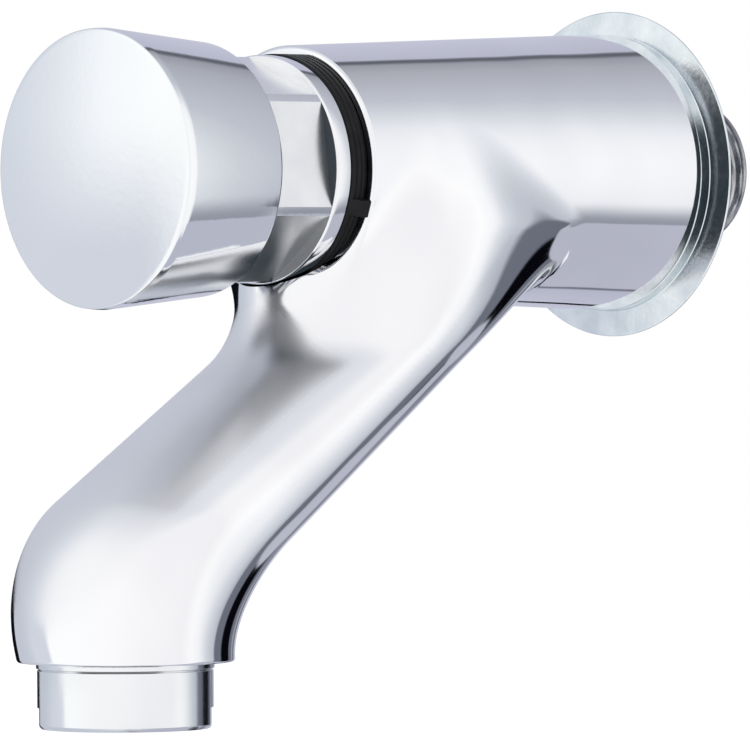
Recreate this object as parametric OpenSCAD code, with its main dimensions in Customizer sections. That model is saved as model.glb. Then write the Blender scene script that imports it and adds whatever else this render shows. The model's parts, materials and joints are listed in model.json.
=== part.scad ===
/* [Barrel] */
// Diameter of the barrel at its front rim
barrel_front_d = 35.7; // [34:0.1:40]
// Diameter of the barrel at the wall end
barrel_rear_d = 41; // [37:0.1:46]
// Length of the barrel
barrel_l = 64.6; // [62:0.1:80]
// Rounding of the barrel's front rim
rim_round = 0.6; // [0.2:0.1:1.2]
// Diameter of the water chamber in the barrel
chamber_d = 27.2; // [26:0.1:28.4]

/* [Spout] */
// Distance from the wall to the centre of the outlet
spout_reach = 99.1; // [92:0.1:112]
// Drop from the barrel's axis to the outlet
spout_drop = 69.2; // [62:0.1:85]
// Height of the straight end at the outlet
outlet_run = 0.9; // [0.2:0.1:3]
// Diameter of the outlet end
outlet_d = 30.8; // [29:0.1:34]
// Width of the spout from side to side above the outlet
spout_w = 34.4; // [31:0.1:35.6]
// Width of the spout's front at its root inside the barrel
root_w = 27; // [24:0.1:32]
// Width of the spout's back at its root inside the barrel
flank_w = 34.8; // [31:0.1:35.6]
// Squareness of the spout's back, where 2 is round
back_square = 3; // [2:0.1:3.6]
// Bend radius along the front of the spout
front_bend_r = 20.4; // [18:0.1:24]
// Bend radius along the back of the spout
rear_bend_r = 18; // [14:0.1:20]
// Forward lean of the front edge just above the outlet, in degrees
front_lean = 14; // [4:0.5:18]
// Forward lean of the back edge just above the outlet, in degrees
rear_lean = 3.5; // [0:0.5:8]
// Slope of the spout's front line, in degrees
front_slope = 33.4; // [30:0.1:36]
// Slope of the spout's back line, in degrees
rear_slope = 36.4; // [34:0.1:38]
// Radius of the hollow where the spout meets the barrel's front
chin_r = 10.8; // [6:0.1:14]
// How far the lip under the bonnet stands out from the barrel
lip_out = 6.6; // [2:0.1:8]
// Diameter of the waterway in the spout
waterway_d = 12.4; // [10:0.1:13.6]

/* [Wall flange] */
// Diameter of the wall flange
flange_d = 48.2; // [45:0.1:60]
// Thickness of the flange's sheet
flange_t = 0.8; // [0.6:0.1:1.2]
// Height of the flange's raised middle above the wall
flange_rise = 2.6; // [2:0.1:5]
// Margin of the raised middle round the barrel
flange_margin = 0.4; // [0.2:0.1:1]
// How far the loose flange hangs below the thread's axis
flange_drop = 0.25; // [0:0.05:0.3]

/* [Inlet] */
// Outside diameter of the half-inch pipe thread
thread_d = 20.955; // [18:0.005:22]
// Pitch of the pipe thread
thread_pitch = 1.814; // [1:0.002:2.4]
// Depth of the thread's grooves
thread_depth = 0.9; // [0.3:0.1:1]
// Length of the threaded tail behind the wall face
tail_l = 18; // [12:0.5:40]
// Diameter of the nipple's end inside the body
nipple_d = 20; // [19:0.1:20.2]
// Length of the nipple inside the body
nipple_grip_l = 11.4; // [9:0.1:13]
// Diameter of the nipple's waterway
nipple_bore_d = 14.4; // [11:0.1:15]
// Thickness of the flat seal in front of the nipple
nipple_seal_t = 1.5; // [1:0.1:2]
// Diameter of the inlet strainer
strainer_d = 16.4; // [15.6:0.1:16.8]
// Thickness of the inlet strainer
strainer_t = 1.6; // [1:0.1:3]

/* [Valve] */
// Diameter of the valve chamber
valve_chamber_d = 18; // [17:0.1:18.6]
// Length of the valve chamber in the body
valve_chamber_l = 4.5; // [3:0.1:6]
// Diameter of the seat ring
seat_d = 22; // [21:0.1:24]
// Thickness of the seat ring
seat_t = 5; // [3:0.1:6]
// Diameter of the hole in the seat ring
seat_hole_d = 11; // [9:0.1:12]
// Height of the seat's lip
seat_lip_h = 1; // [0.5:0.1:1.5]
// Diameter of the valve washer
washer_d = 14; // [13.6:0.1:14.6]
// Thickness of the valve washer
washer_t = 3; // [2.2:0.1:4]
// Depth of the washer in its holder
washer_sunk = 1.5; // [0.8:0.1:1.8]
// Wall of the washer holder
holder_wall = 0.7; // [0.5:0.1:0.9]
// Floor of the washer holder
holder_floor = 2; // [1:0.1:2.5]
// Width of the washer nut across its flats
washer_nut_af = 7; // [6:0.1:9]
// Thickness of the washer nut
washer_nut_t = 3.2; // [2:0.1:3.6]

/* [Spindle and piston] */
// Travel of the button
travel = 8; // [5:0.1:9]
// Diameter of the spindle
rod_d = 6; // [5.4:0.1:6.4]
// Diameter of the spindle's threaded ends
stud_d = 4; // [3:0.1:4.6]
// Diameter of the collar that the piston pushes on
collar_d = 8.4; // [7.4:0.1:8.5]
// Thickness of that collar
collar_t = 2; // [1:0.1:3]
// Diameter of the timing cylinder
cylinder_d = 20; // [19.4:0.1:20.6]
// Length of the piston
piston_l = 7; // [6:0.1:9]
// Diameter at the bottom of the piston's groove
groove_d = 15.2; // [14:0.1:16]
// Width of the piston's groove
groove_w = 3.5; // [3:0.1:4.5]
// Free space in front of the spindle's collar
piston_gap = 5; // [1:0.1:6]
// Diameter of the bleed jet
jet_d = 1.6; // [1:0.1:1.8]
// Distance of the bleed jet from the axis
jet_offset = 5.4; // [5.2:0.1:5.6]
// Hole in the bleed jet
jet_hole_d = 0.5; // [0.3:0.1:0.8]

/* [Return spring] */
// Diameter at the middle of the spring's wire
spring_d = 15; // [14:0.1:17]
// Diameter of the spring's wire
spring_wire_d = 1.4; // [0.8:0.1:1.6]
// Number of turns
spring_turns = 5; // [3:0.5:7]

/* [Timing sleeve] */
// Wall of the timing sleeve
sleeve_wall = 1.2; // [0.8:0.1:1.6]
// Diameter of the sleeve's front end
sleeve_end_d = 24.8; // [24:0.1:25.2]
// Length of the sleeve's front end
sleeve_end_l = 5; // [4:0.1:8]
// Cord of the sleeve's seal
sleeve_oring_cord = 1; // [0.8:0.1:1.2]

/* [Bonnet] */
// Diameter of the bonnet's screwed end
spigot_d = 28.8; // [28.4:0.1:30]
// Length of the bonnet's screwed end inside the barrel
spigot_l = 14.2; // [10:0.1:16]
// Thickness of the rubber gasket
gasket_t = 3; // [1.5:0.1:4]
// Diameter of the rubber gasket
gasket_d = 33.2; // [32:0.1:34]
// Width of the gasket's tab
tab_w = 2.4; // [1:0.1:3]
// How far the gasket's tab stands out
tab_out = 1.4; // [0.5:0.1:2]
// Place of the tab round the gasket, in degrees above the level
tab_turn = -19; // [-60:1:60]
// Diameter of the bonnet's collar
bonnet_collar_d = 32.8; // [32:0.1:34]
// Thickness of the bonnet's collar
bonnet_collar_t = 2.8; // [2:0.1:6]
// Diameter of the bonnet's head
head_d = 32.4; // [31:0.1:32.6]
// Length of the bonnet's head
head_l = 19; // [16:0.1:22]
// Width across the six spanner flats
head_af = 28.7; // [28:0.1:31]
// Turn of the first flat above the level, in degrees
head_turn = 8; // [-30:1:30]
// Diameter of the recess in the front of the head
recess_d = 18; // [14:0.1:22]
// Depth of that recess
recess_l = 10; // [7:0.1:12]
// Web between the timing cylinder and the spindle seal
web_t = 2; // [1:0.1:3]
// Cord of the spindle's seal
rod_oring_cord = 1.9; // [1.4:0.1:2.2]
// Thickness of the circlip
clip_t = 1; // [0.8:0.1:1.4]
// Depth of the circlip's groove
clip_groove = 0.8; // [0.5:0.1:1.2]
// Radial width of the circlip
clip_w = 1.6; // [1.2:0.1:1.8]
// Metal in front of the circlip
clip_land = 2; // [1:0.1:3]

/* [Push button] */
// Diameter of the button at its front edge
button_front_d = 39.3; // [37:0.1:42]
// Diameter of the button at its back edge
button_rear_d = 36.1; // [35.4:0.1:38]
// Length of the button's side
button_l = 19.6; // [18:0.1:24]
// Rise of the button's domed face
button_dome = 0.6; // [0.3:0.1:2]
// Thickness of the button's face
button_face_t = 2.2; // [1.5:0.1:3]
// Length of the bonnet that shows behind the button
neck_l = 12; // [9.5:0.1:13]
// Diameter of the button's boss
boss_d = 10; // [8:0.1:12]
// Length of spindle thread inside the boss
boss_grip_l = 6; // [4:0.1:6.4]
// Width of the lock nut across its flats
lock_nut_af = 8; // [7:0.1:10]
// Thickness of the lock nut
lock_nut_t = 3.2; // [2:0.1:3.6]

/* [Aerator] */
// Diameter of the aerator
aerator_d = 24.8; // [23.6:0.1:26]
// Length of the aerator below the spout
aerator_l = 9.3; // [7:0.1:14]
// Width across the aerator's two spanner flats
aerator_af = 24; // [22.6:0.1:24.6]
// Height of the spanner flats
aerator_flat_h = 3; // [2:0.1:5]
// Height of the ring above the groove line
aerator_ring_h = 0.8; // [0.5:0.1:3]
// Diameter of that ring
aerator_ring_d = 25.1; // [24.4:0.1:27]
// Chamfer round the aerator's mouth
aerator_chamfer = 0.6; // [0.2:0.1:1]
// Diameter of the aerator's thread
aerator_thread_d = 22.8; // [22.2:0.1:23.4]
// Length of the aerator's thread
aerator_thread_l = 6.6; // [4:0.1:8]
// Diameter of the aerator's insert
insert_d = 20.2; // [19:0.1:20.6]
// Thickness of the insert's rim
insert_rim_t = 1.2; // [0.8:0.1:2]
// Wall of the insert
insert_wall = 1.4; // [1:0.1:2]
// Thickness of the aerator's screen
screen_t = 1; // [0.6:0.1:1.5]
// Height of the lip under the screen
aerator_lip_h = 0.8; // [0.5:0.1:1.5]
// Width of the lip under the screen
aerator_lip_w = 0.8; // [0.5:0.1:1.5]
// Thickness of the rubber ring above the aerator
aerator_washer_t = 1.8; // [1:0.1:2.5]

/* [Mesh bars] */
// Width of a bar of the strainer and the screen
bar_w = 0.6; // [0.3:0.1:1]
// Distance between two bars
bar_pitch = 2.2; // [1.6:0.1:4]

/* [Clearances] */
// Radial room of a fixed fit
fit_gap = 0.05; // [0.02:0.01:0.1]
// Radial room of a sliding fit
run_gap = 0.06; // [0.03:0.01:0.1]
// Room left at the end of the button's travel
end_gap = 0.8; // [0.4:0.1:1.5]
// Radial room round the bonnet's collar where the body is faced
face_gap = 0.3; // [0.2:0.1:0.8]
// Radial room between the flange and the thread
thread_gap = 0.6; // [0.4:0.1:1]
// Radial room between the button's skirt and the bonnet's head
skirt_gap = 0.4; // [0.3:0.1:0.6]
// Small edge break of turned pieces
edge_break = 0.4; // [0.1:0.1:0.6]

/* [Hidden] */
$fn = 96;
// A cut reaches this far past the face it opens
past = 1;

// Places along the barrel's axis, measured out from the wall
nipple_end = flange_rise + nipple_grip_l;
nipple_stop = nipple_end + nipple_seal_t;
seat_rear = nipple_stop + valve_chamber_l;
seat_front = seat_rear + seat_t;
valve_face = seat_rear - seat_lip_h;
washer_rear = valve_face - washer_t;
holder_rear = washer_rear - holder_floor;
washer_nut_rear = holder_rear - washer_nut_t;
spindle_rear = washer_nut_rear - end_gap;
counterbore_rear = holder_rear - travel - end_gap;
barrel_front = flange_rise + barrel_l;
spigot_rear = barrel_front - spigot_l;
cylinder_front = spigot_rear + sleeve_end_l;
collar_front = cylinder_front - piston_gap;
piston_front = collar_front - collar_t;
piston_rear = piston_front - piston_l;
groove_rear = piston_rear + (piston_l - groove_w) / 2;
groove_front = groove_rear + groove_w;
sleeve_rear = piston_rear - travel - end_gap;
bonnet_seat = barrel_front + gasket_t;
bonnet_step = bonnet_seat + bonnet_collar_t;
head_front = bonnet_step + head_l;
recess_floor = head_front - recess_l;
clip_front = recess_floor - clip_land;
clip_rear = clip_front - clip_t - fit_gap;
rod_seal_rear = cylinder_front + web_t;
rod_seal_front = rod_seal_rear + rod_oring_cord + 2 * fit_gap;
button_rear = bonnet_step + neck_l;
button_front = button_rear + button_l;
button_floor = button_front - button_face_t;
boss_rear = recess_floor + travel + end_gap + lock_nut_t;
lock_nut_rear = boss_rear - lock_nut_t;
spindle_front = boss_rear + boss_grip_l;

// Radii that follow from the sizes above
thread_r = thread_d / 2;
rod_r = rod_d / 2;
stud_r = stud_d / 2;
piston_r = cylinder_d / 2 - run_gap;
sleeve_r = cylinder_d / 2 + sleeve_wall;
sleeve_end_r = sleeve_end_d / 2;
sleeve_groove_r = sleeve_end_r + fit_gap - sleeve_oring_cord;
spigot_r = spigot_d / 2;
rod_seal_r = rod_r + run_gap + rod_oring_cord;
bush_bore_r = rod_seal_r + fit_gap;
skirt_r = head_d / 2 + skirt_gap;
insert_r = insert_d / 2;
insert_bore_r = insert_r - insert_wall;

// Heights of the aerator, measured up from the barrel's axis
outlet_z = -spout_drop;
aerator_bottom = outlet_z - aerator_l;
aerator_top = outlet_z + aerator_thread_l;
insert_top = aerator_top + insert_rim_t;
aerator_stop = insert_top + aerator_washer_t;
screen_bottom = aerator_bottom + aerator_lip_h;
insert_bottom = screen_bottom + screen_t;

// Spout outlines: each rises from the outlet, bends back and runs straight up into the barrel
bend_steps = 10;
run_steps = 14;
ring_points = 40;
front_top_z = -0.45 * barrel_front_d / 2;
rear_top_z = -0.3 * barrel_rear_d / 2;
bend_z = outlet_z + outlet_run;

function heading(lean, slope, k) = (90 + lean) + (slope - 90 - lean) * k;

// Point on a bend that starts above the outlet with a forward lean, after the share k of its turn
function bend_point(start, lean, slope, r, k) = [
    start + r * (sin(heading(lean, slope, k)) - sin(90 + lean)),
    bend_z + r * (cos(heading(lean, slope, k)) - cos(90 + lean))
];

front_start = spout_reach + outlet_d / 2;
rear_start = spout_reach - outlet_d / 2;
front_foot = bend_point(front_start, front_lean, front_slope, front_bend_r, 1);
rear_foot = bend_point(rear_start, rear_lean, rear_slope, rear_bend_r, 1);

// Above its bend the front runs straight, then hollows out and rises upright as the lip
lip_u = barrel_front + lip_out;
chin_line_l = (front_foot[0] - lip_u - chin_r * (1 - sin(front_slope))) / cos(front_slope);
chin_arc_l = chin_r * (90 - front_slope) * PI / 180;
chin_foot = front_foot + chin_line_l * [-cos(front_slope), sin(front_slope)];
lip_foot_z = chin_foot[1] + chin_r * cos(front_slope);
front_run_l = chin_line_l + chin_arc_l + front_top_z - lip_foot_z;

// Point on that run, at a distance s from the bend
function front_run(s) =
    s < chin_line_l ? front_foot + s * [-cos(front_slope), sin(front_slope)] :
    s < chin_line_l + chin_arc_l ?
        let (a = front_slope + (s - chin_line_l) / chin_r * 180 / PI)
        chin_foot + chin_r * [sin(front_slope) - sin(a), cos(front_slope) - cos(a)] :
    [lip_u, lip_foot_z + s - chin_line_l - chin_arc_l];

// Point on the back's straight run, after the share k of its rise
function rear_run(k) = rear_foot + k * (rear_top_z - rear_foot[1]) * [-1 / tan(rear_slope), 1];

function ease(k) = k * k * (3 - 2 * k);

// Sections of the spout: front point, back point, half widths of front and back, squareness of the back
sections = concat(
    [[[front_start, outlet_z], [rear_start, outlet_z], outlet_d / 2, outlet_d / 2, 2]],
    [for (i = [0 : bend_steps])
        let (half = outlet_d / 2 + (spout_w - outlet_d) / 2 * sin(90 * i / bend_steps))
        [
            bend_point(front_start, front_lean, front_slope, front_bend_r, i / bend_steps),
            bend_point(rear_start, rear_lean, rear_slope, rear_bend_r, i / bend_steps),
            half,
            half,
            2 + (back_square - 2) * ease(i / bend_steps)
        ]
    ],
    [for (i = [1 : run_steps]) [
        front_run(front_run_l * i / run_steps),
        rear_run(i / run_steps),
        spout_w / 2 + (root_w - spout_w) / 2 * i / run_steps,
        spout_w / 2 + (flank_w - spout_w) / 2 * i / run_steps,
        back_square
    ]]
);

// Half width of a section at the height lift, from -1 at its back to 1 at its front
function width_at(lift, front_half, rear_half) =
    front_half + (rear_half - front_half) * ease(min(max((0.5 - lift) / 0.9, 0), 1));

// Point of a section at the angle a round it
function section_point(s, a) =
    let (
        mid = (s[0] + s[1]) / 2,
        half = (s[0] - s[1]) / 2,
        power = sin(a) > 0 ? 1 : 2 / s[4],
        lift = sign(sin(a)) * pow(abs(sin(a)), power),
        aside = sign(cos(a)) * pow(abs(cos(a)), power)
    )
    [width_at(lift, s[2], s[3]) * aside, -(mid[0] + half[0] * lift), mid[1] + half[1] * lift];

// Middle line of the spout, along which its waterway is drilled
mid_slope = (front_slope + rear_slope) / 2;
mid_foot = (front_foot + rear_foot) / 2;
elbow_z = mid_foot[1] - (spout_reach - mid_foot[0]) * tan(mid_slope);
waterway_top_z = -chamber_d / 3;

// Solid turned on the barrel's axis from points of radius and distance from the wall
module turned(profile) {
    rotate([90, 0, 0])
        rotate_extrude()
            polygon(profile);
}

module turned_ring(r_in, r_out, rear, front) {
    turned([[r_in, rear], [r_out, rear], [r_out, front], [r_in, front]]);
}

module bore(r, rear, front) {
    turned([[0, rear], [r, rear], [r, front], [0, front]]);
}

module o_ring(r_middle, cord, middle) {
    rotate([90, 0, 0])
        translate([0, 0, middle])
            rotate_extrude()
                translate([r_middle, 0])
                    circle(d = cord);
}

module hex_nut(af, hole_r, rear, front) {
    difference() {
        rotate([90, 0, 0])
            translate([0, 0, rear])
                cylinder(h = front - rear, d = af / cos(30), $fn = 6);
        bore(hole_r, rear - past, front + past);
    }
}

// Solid turned on the outlet's axis from points of radius and height
module turned_outlet(profile) {
    translate([0, -spout_reach, 0])
        rotate_extrude()
            polygon(profile);
}

// Crossed bars inside a round rim, drawn flat from z = 0 up
module mesh_disc(r, rim, t) {
    bars = floor((r - rim) / bar_pitch);
    difference() {
        cylinder(h = t, r = r);
        translate([0, 0, -past])
            cylinder(h = t + 2 * past, r = r - rim);
    }
    intersection() {
        cylinder(h = t, r = r - rim / 2);
        union() {
            for (i = [-bars : bars]) {
                translate([i * bar_pitch - bar_w / 2, -r, 0])
                    cube([bar_w, 2 * r, t / 2]);
                translate([-r, i * bar_pitch - bar_w / 2, t / 4])
                    cube([2 * r, bar_w, t * 3 / 4]);
            }
        }
    }
}

module barrel_outside() {
    r_front = barrel_front_d / 2;
    arc_steps = 6;
    turned(concat(
        [[0, flange_rise], [barrel_rear_d / 2, flange_rise]],
        [for (i = [0 : arc_steps]) [
            r_front - rim_round * (1 - cos(90 * i / arc_steps)),
            barrel_front - rim_round * (1 - sin(90 * i / arc_steps))
        ]],
        [[0, barrel_front]]
    ));
}

module spout_outside() {
    count = len(sections);
    points = [for (s = sections) for (j = [0 : ring_points - 1]) section_point(s, 360 * j / ring_points)];
    sides = [for (i = [0 : count - 2]) for (j = [0 : ring_points - 1])
        let (a = i * ring_points + j, b = i * ring_points + (j + 1) % ring_points)
        each [[a, b, b + ring_points], [a, b + ring_points, a + ring_points]]
    ];
    bottom = [for (j = [ring_points - 1 : -1 : 0]) j];
    top = [for (j = [0 : ring_points - 1]) (count - 1) * ring_points + j];
    polyhedron(points = points, faces = concat(sides, [bottom, top]), convexity = 6);
}

module spout_waterway() {
    rise = waterway_top_z - elbow_z;
    elbow_d = waterway_d * 1.1;
    translate([0, -spout_reach, elbow_z]) {
        sphere(d = elbow_d);
        rotate([mid_slope - 90, 0, 0])
            cylinder(h = rise / sin(mid_slope), d = waterway_d);
        translate([0, 0, aerator_stop - elbow_z - past])
            cylinder(h = elbow_z - aerator_stop + past, d = waterway_d);
    }
}

module body() {
    color("gainsboro")
        difference() {
            union() {
                barrel_outside();
                spout_outside();
            }
            bore(nipple_d / 2 + fit_gap, -past, nipple_stop);
            bore(valve_chamber_d / 2, nipple_stop - past, seat_rear + past);
            bore(seat_d / 2 + fit_gap, seat_rear, seat_front + past);
            bore(chamber_d / 2, seat_front, spigot_rear);
            bore(spigot_r + fit_gap, spigot_rear - past, barrel_front + past);
            bore(max(gasket_d, bonnet_collar_d) / 2 + face_gap, barrel_front, lip_u + past);
            spout_waterway();
            turned_outlet([
                [0, outlet_z - past],
                [aerator_thread_d / 2 + fit_gap, outlet_z - past],
                [aerator_thread_d / 2 + fit_gap, aerator_stop],
                [0, aerator_stop]
            ]);
        }
}

module wall_flange() {
    hole_r = thread_r + thread_gap;
    step_r = barrel_rear_d / 2 + flange_margin;
    bend = flange_t * 0.6;
    color("lightsteelblue")
        translate([0, 0, -flange_drop])
            turned([
                [hole_r, flange_rise - flange_t],
                [step_r - flange_t, flange_rise - flange_t],
                [step_r - flange_t + bend, 0],
                [flange_d / 2, 0],
                [flange_d / 2, bend],
                [step_r + bend, flange_t],
                [step_r, flange_rise - bend],
                [step_r - bend, flange_rise],
                [hole_r, flange_rise]
            ]);
}

module inlet_nipple() {
    grooves = floor(tail_l / thread_pitch);
    crest = thread_pitch / 4;
    flank = thread_pitch * 0.3;
    root_r = thread_r - thread_depth;
    strainer_r = strainer_d / 2;
    strainer_floor = -tail_l + strainer_t + fit_gap;
    counterbore_r = washer_d / 2 + holder_wall + end_gap;
    color("darkgray")
        turned(concat(
            [for (i = [0 : grooves - 1]) each [
                [thread_r, -tail_l + i * thread_pitch],
                [thread_r, -tail_l + i * thread_pitch + crest],
                [root_r, -tail_l + i * thread_pitch + crest + flank],
                [root_r, -tail_l + (i + 1) * thread_pitch - flank]
            ]],
            [
                [thread_r, -tail_l + grooves * thread_pitch],
                [thread_r, 0],
                [nipple_d / 2, 0],
                [nipple_d / 2, nipple_end],
                [counterbore_r, nipple_end],
                [counterbore_r, counterbore_rear],
                [nipple_bore_d / 2, counterbore_rear],
                [nipple_bore_d / 2, strainer_floor],
                [strainer_r, strainer_floor],
                [strainer_r, -tail_l]
            ]
        ));
}

module inlet_strainer() {
    color("ivory")
        rotate([90, 0, 0])
            translate([0, 0, -tail_l])
                mesh_disc(strainer_d / 2 - fit_gap, (strainer_d - nipple_bore_d) / 2, strainer_t);
}

module nipple_seal() {
    color("firebrick")
        turned_ring(valve_chamber_d / 2, nipple_d / 2, nipple_end, nipple_stop);
}

module seat_ring() {
    hole_r = seat_hole_d / 2;
    color("goldenrod")
        turned([
            [hole_r, valve_face],
            [hole_r + seat_lip_h / 2, valve_face],
            [hole_r + seat_lip_h, seat_rear],
            [seat_d / 2, seat_rear],
            [seat_d / 2, seat_front],
            [hole_r, seat_front]
        ]);
}

module valve_washer() {
    color("black")
        turned_ring(stud_r + fit_gap, washer_d / 2, washer_rear, valve_face);
}

module washer_holder() {
    cup_r = washer_d / 2 + fit_gap;
    color("goldenrod")
        turned([
            [stud_r + fit_gap, holder_rear],
            [cup_r + holder_wall - edge_break, holder_rear],
            [cup_r + holder_wall, holder_rear + edge_break],
            [cup_r + holder_wall, washer_rear + washer_sunk],
            [cup_r, washer_rear + washer_sunk],
            [cup_r, washer_rear],
            [stud_r + fit_gap, washer_rear]
        ]);
}

module washer_nut() {
    color("goldenrod")
        hex_nut(washer_nut_af, stud_r + fit_gap, washer_nut_rear, holder_rear);
}

module spindle() {
    color("lightgray")
        turned([
            [0, spindle_rear],
            [stud_r, spindle_rear],
            [stud_r, valve_face],
            [rod_r, valve_face],
            [rod_r, piston_front],
            [collar_d / 2, piston_front],
            [collar_d / 2, collar_front],
            [rod_r, collar_front],
            [rod_r, lock_nut_rear],
            [stud_r, lock_nut_rear],
            [stud_r, spindle_front],
            [0, spindle_front]
        ]);
}

// Helical spring, one unbroken tube from the seat ring to the piston
module return_spring() {
    wire_r = spring_wire_d / 2;
    coil_r = spring_d / 2;
    rings_per_turn = 16;
    wire_sides = 8;
    rings = rings_per_turn * spring_turns + 1;
    height = piston_rear - seat_front - spring_wire_d - 2 * fit_gap;
    lead = atan(height / (spring_turns * 2 * PI * coil_r));
    start = seat_front + wire_r + fit_gap;
    points = [for (i = [0 : rings - 1]) for (j = [0 : wire_sides - 1])
        let (
            a = 360 * i / rings_per_turn,
            b = 360 * j / wire_sides,
            across = wire_r * cos(b),
            along = wire_r * sin(b)
        )
        [
            (coil_r + across) * cos(a) + along * sin(lead) * sin(a),
            (coil_r + across) * sin(a) - along * sin(lead) * cos(a),
            start + height * i / (rings - 1) + along * cos(lead)
        ]
    ];
    sides = [for (i = [0 : rings - 2]) for (j = [0 : wire_sides - 1])
        let (a = i * wire_sides + j, b = i * wire_sides + (j + 1) % wire_sides)
        each [[a, b, b + wire_sides], [a, b + wire_sides, a + wire_sides]]
    ];
    first = [for (j = [wire_sides - 1 : -1 : 0]) j];
    last = [for (j = [0 : wire_sides - 1]) (rings - 1) * wire_sides + j];
    echo(least_gap_between_turns = height / spring_turns * cos(lead) - spring_wire_d);
    color("silver")
        rotate([90, 0, 0])
            polyhedron(points = points, faces = concat(sides, [first, last]), convexity = 12);
}

module piston() {
    color("white")
        difference() {
            turned([
                [rod_r + fit_gap, piston_rear],
                [piston_r - edge_break, piston_rear],
                [piston_r, piston_rear + edge_break],
                [piston_r, groove_rear],
                [groove_d / 2, groove_rear],
                [groove_d / 2, groove_front],
                [piston_r, groove_front],
                [piston_r, piston_front],
                [rod_r + fit_gap, piston_front]
            ]);
            translate([jet_offset, 0, 0])
                bore(jet_d / 2 + fit_gap, piston_rear - past, piston_front + past);
        }
}

module piston_cup_seal() {
    r_in = groove_d / 2 + fit_gap;
    depth = piston_r - r_in;
    heel = groove_w / 3;
    color("black")
        turned([
            [r_in, groove_rear + fit_gap],
            [piston_r - depth / 4, groove_rear + fit_gap],
            [piston_r, groove_front - fit_gap],
            [piston_r - depth / 4, groove_front - fit_gap],
            [r_in + depth / 2, groove_rear + heel],
            [r_in + depth / 4, groove_front - fit_gap],
            [r_in, groove_front - fit_gap]
        ]);
}

module bleed_jet() {
    color("goldenrod")
        translate([jet_offset, 0, 0])
            turned_ring(jet_hole_d / 2, jet_d / 2, piston_rear, piston_front);
}

module timing_sleeve() {
    r_in = cylinder_d / 2;
    seal_middle = cylinder_front - sleeve_end_l / 2;
    half = sleeve_oring_cord / 2 + fit_gap;
    color("white")
        turned([
            [r_in, sleeve_rear],
            [sleeve_r - edge_break, sleeve_rear],
            [sleeve_r, sleeve_rear + edge_break],
            [sleeve_r, spigot_rear],
            [sleeve_end_r, spigot_rear],
            [sleeve_end_r, seal_middle - half],
            [sleeve_groove_r, seal_middle - half],
            [sleeve_groove_r, seal_middle + half],
            [sleeve_end_r, seal_middle + half],
            [sleeve_end_r, cylinder_front],
            [r_in, cylinder_front]
        ]);
}

module sleeve_oring() {
    color("black")
        o_ring(
            sleeve_groove_r + sleeve_oring_cord / 2,
            sleeve_oring_cord - fit_gap,
            cylinder_front - sleeve_end_l / 2
        );
}

module bonnet() {
    color("gainsboro")
        difference() {
            union() {
                bore(spigot_r, spigot_rear, bonnet_seat);
                bore(bonnet_collar_d / 2, bonnet_seat, bonnet_step);
                intersection() {
                    bore(head_d / 2, bonnet_step - past, head_front);
                    rotate([90, 0, 0])
                        translate([0, 0, bonnet_step - past])
                            rotate([0, 0, head_turn - 30])
                                cylinder(h = head_l + 2 * past, d = head_af / cos(30), $fn = 6);
                }
            }
            bore(sleeve_end_r + fit_gap, spigot_rear - past, cylinder_front);
            bore(rod_r + run_gap, cylinder_front - past, rod_seal_rear + past);
            bore(bush_bore_r, rod_seal_rear, recess_floor + past);
            bore(bush_bore_r + clip_groove, clip_rear, clip_front);
            bore(recess_d / 2, recess_floor, head_front + past);
        }
}

module bonnet_gasket() {
    r_out = gasket_d / 2;
    ridges = 3;
    ridge_w = gasket_t / ridges;
    groove = ridge_w / 3;
    color("black")
        difference() {
            union() {
                turned(concat(
                    [[spigot_r + fit_gap, barrel_front], [r_out, barrel_front]],
                    [for (i = [1 : ridges - 1]) each [
                        [r_out, barrel_front + i * ridge_w - groove],
                        [r_out - groove, barrel_front + i * ridge_w],
                        [r_out, barrel_front + i * ridge_w + groove]
                    ]],
                    [[r_out, bonnet_seat], [spigot_r + fit_gap, bonnet_seat]]
                ));
                rotate([0, -tab_turn, 0])
                    translate([0, 0, -tab_w / 2])
                        linear_extrude(tab_w)
                            polygon([
                                [spigot_r, -barrel_front],
                                [r_out + tab_out, -barrel_front],
                                [r_out + tab_out, -barrel_front - ridge_w],
                                [r_out - groove, -bonnet_seat],
                                [spigot_r, -bonnet_seat]
                            ]);
            }
            bore(spigot_r + fit_gap, barrel_front - past, bonnet_seat + past);
        }
}

module guide_bush() {
    color("whitesmoke")
        turned([
            [rod_r + run_gap, rod_seal_front],
            [bush_bore_r - fit_gap, rod_seal_front],
            [bush_bore_r - fit_gap, clip_rear],
            [rod_r + run_gap + edge_break, clip_rear],
            [rod_r + run_gap, clip_rear - edge_break]
        ]);
}

module spindle_oring() {
    color("black")
        o_ring(
            rod_r + run_gap + rod_oring_cord / 2,
            rod_oring_cord,
            (rod_seal_rear + rod_seal_front) / 2
        );
}

module bush_circlip() {
    r_out = bush_bore_r + clip_groove - fit_gap;
    opening = clip_w * 2;
    color("dimgray")
        difference() {
            turned_ring(r_out - clip_w, r_out, clip_rear, clip_rear + clip_t);
            translate([-opening / 2, -clip_front - past, 0])
                cube([opening, clip_t + 2 * past + fit_gap, r_out + past]);
        }
}

module push_button() {
    rim_r = button_front_d / 2;
    dome_steps = 8;
    color("gainsboro")
        difference() {
            union() {
                turned(concat(
                    [[skirt_r, button_rear], [button_rear_d / 2, button_rear]],
                    [for (i = [0 : dome_steps])
                        let (r = rim_r * (1 - i / dome_steps))
                        [r, button_front + button_dome * (1 - pow(r / rim_r, 2))]
                    ],
                    [[0, button_floor], [skirt_r, button_floor]]
                ));
                bore(boss_d / 2, boss_rear, button_floor + button_face_t / 2);
            }
            bore(stud_r + fit_gap, boss_rear - past, spindle_front + fit_gap);
        }
}

module button_lock_nut() {
    color("silver")
        hex_nut(lock_nut_af, stud_r + fit_gap, lock_nut_rear, boss_rear);
}

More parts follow.
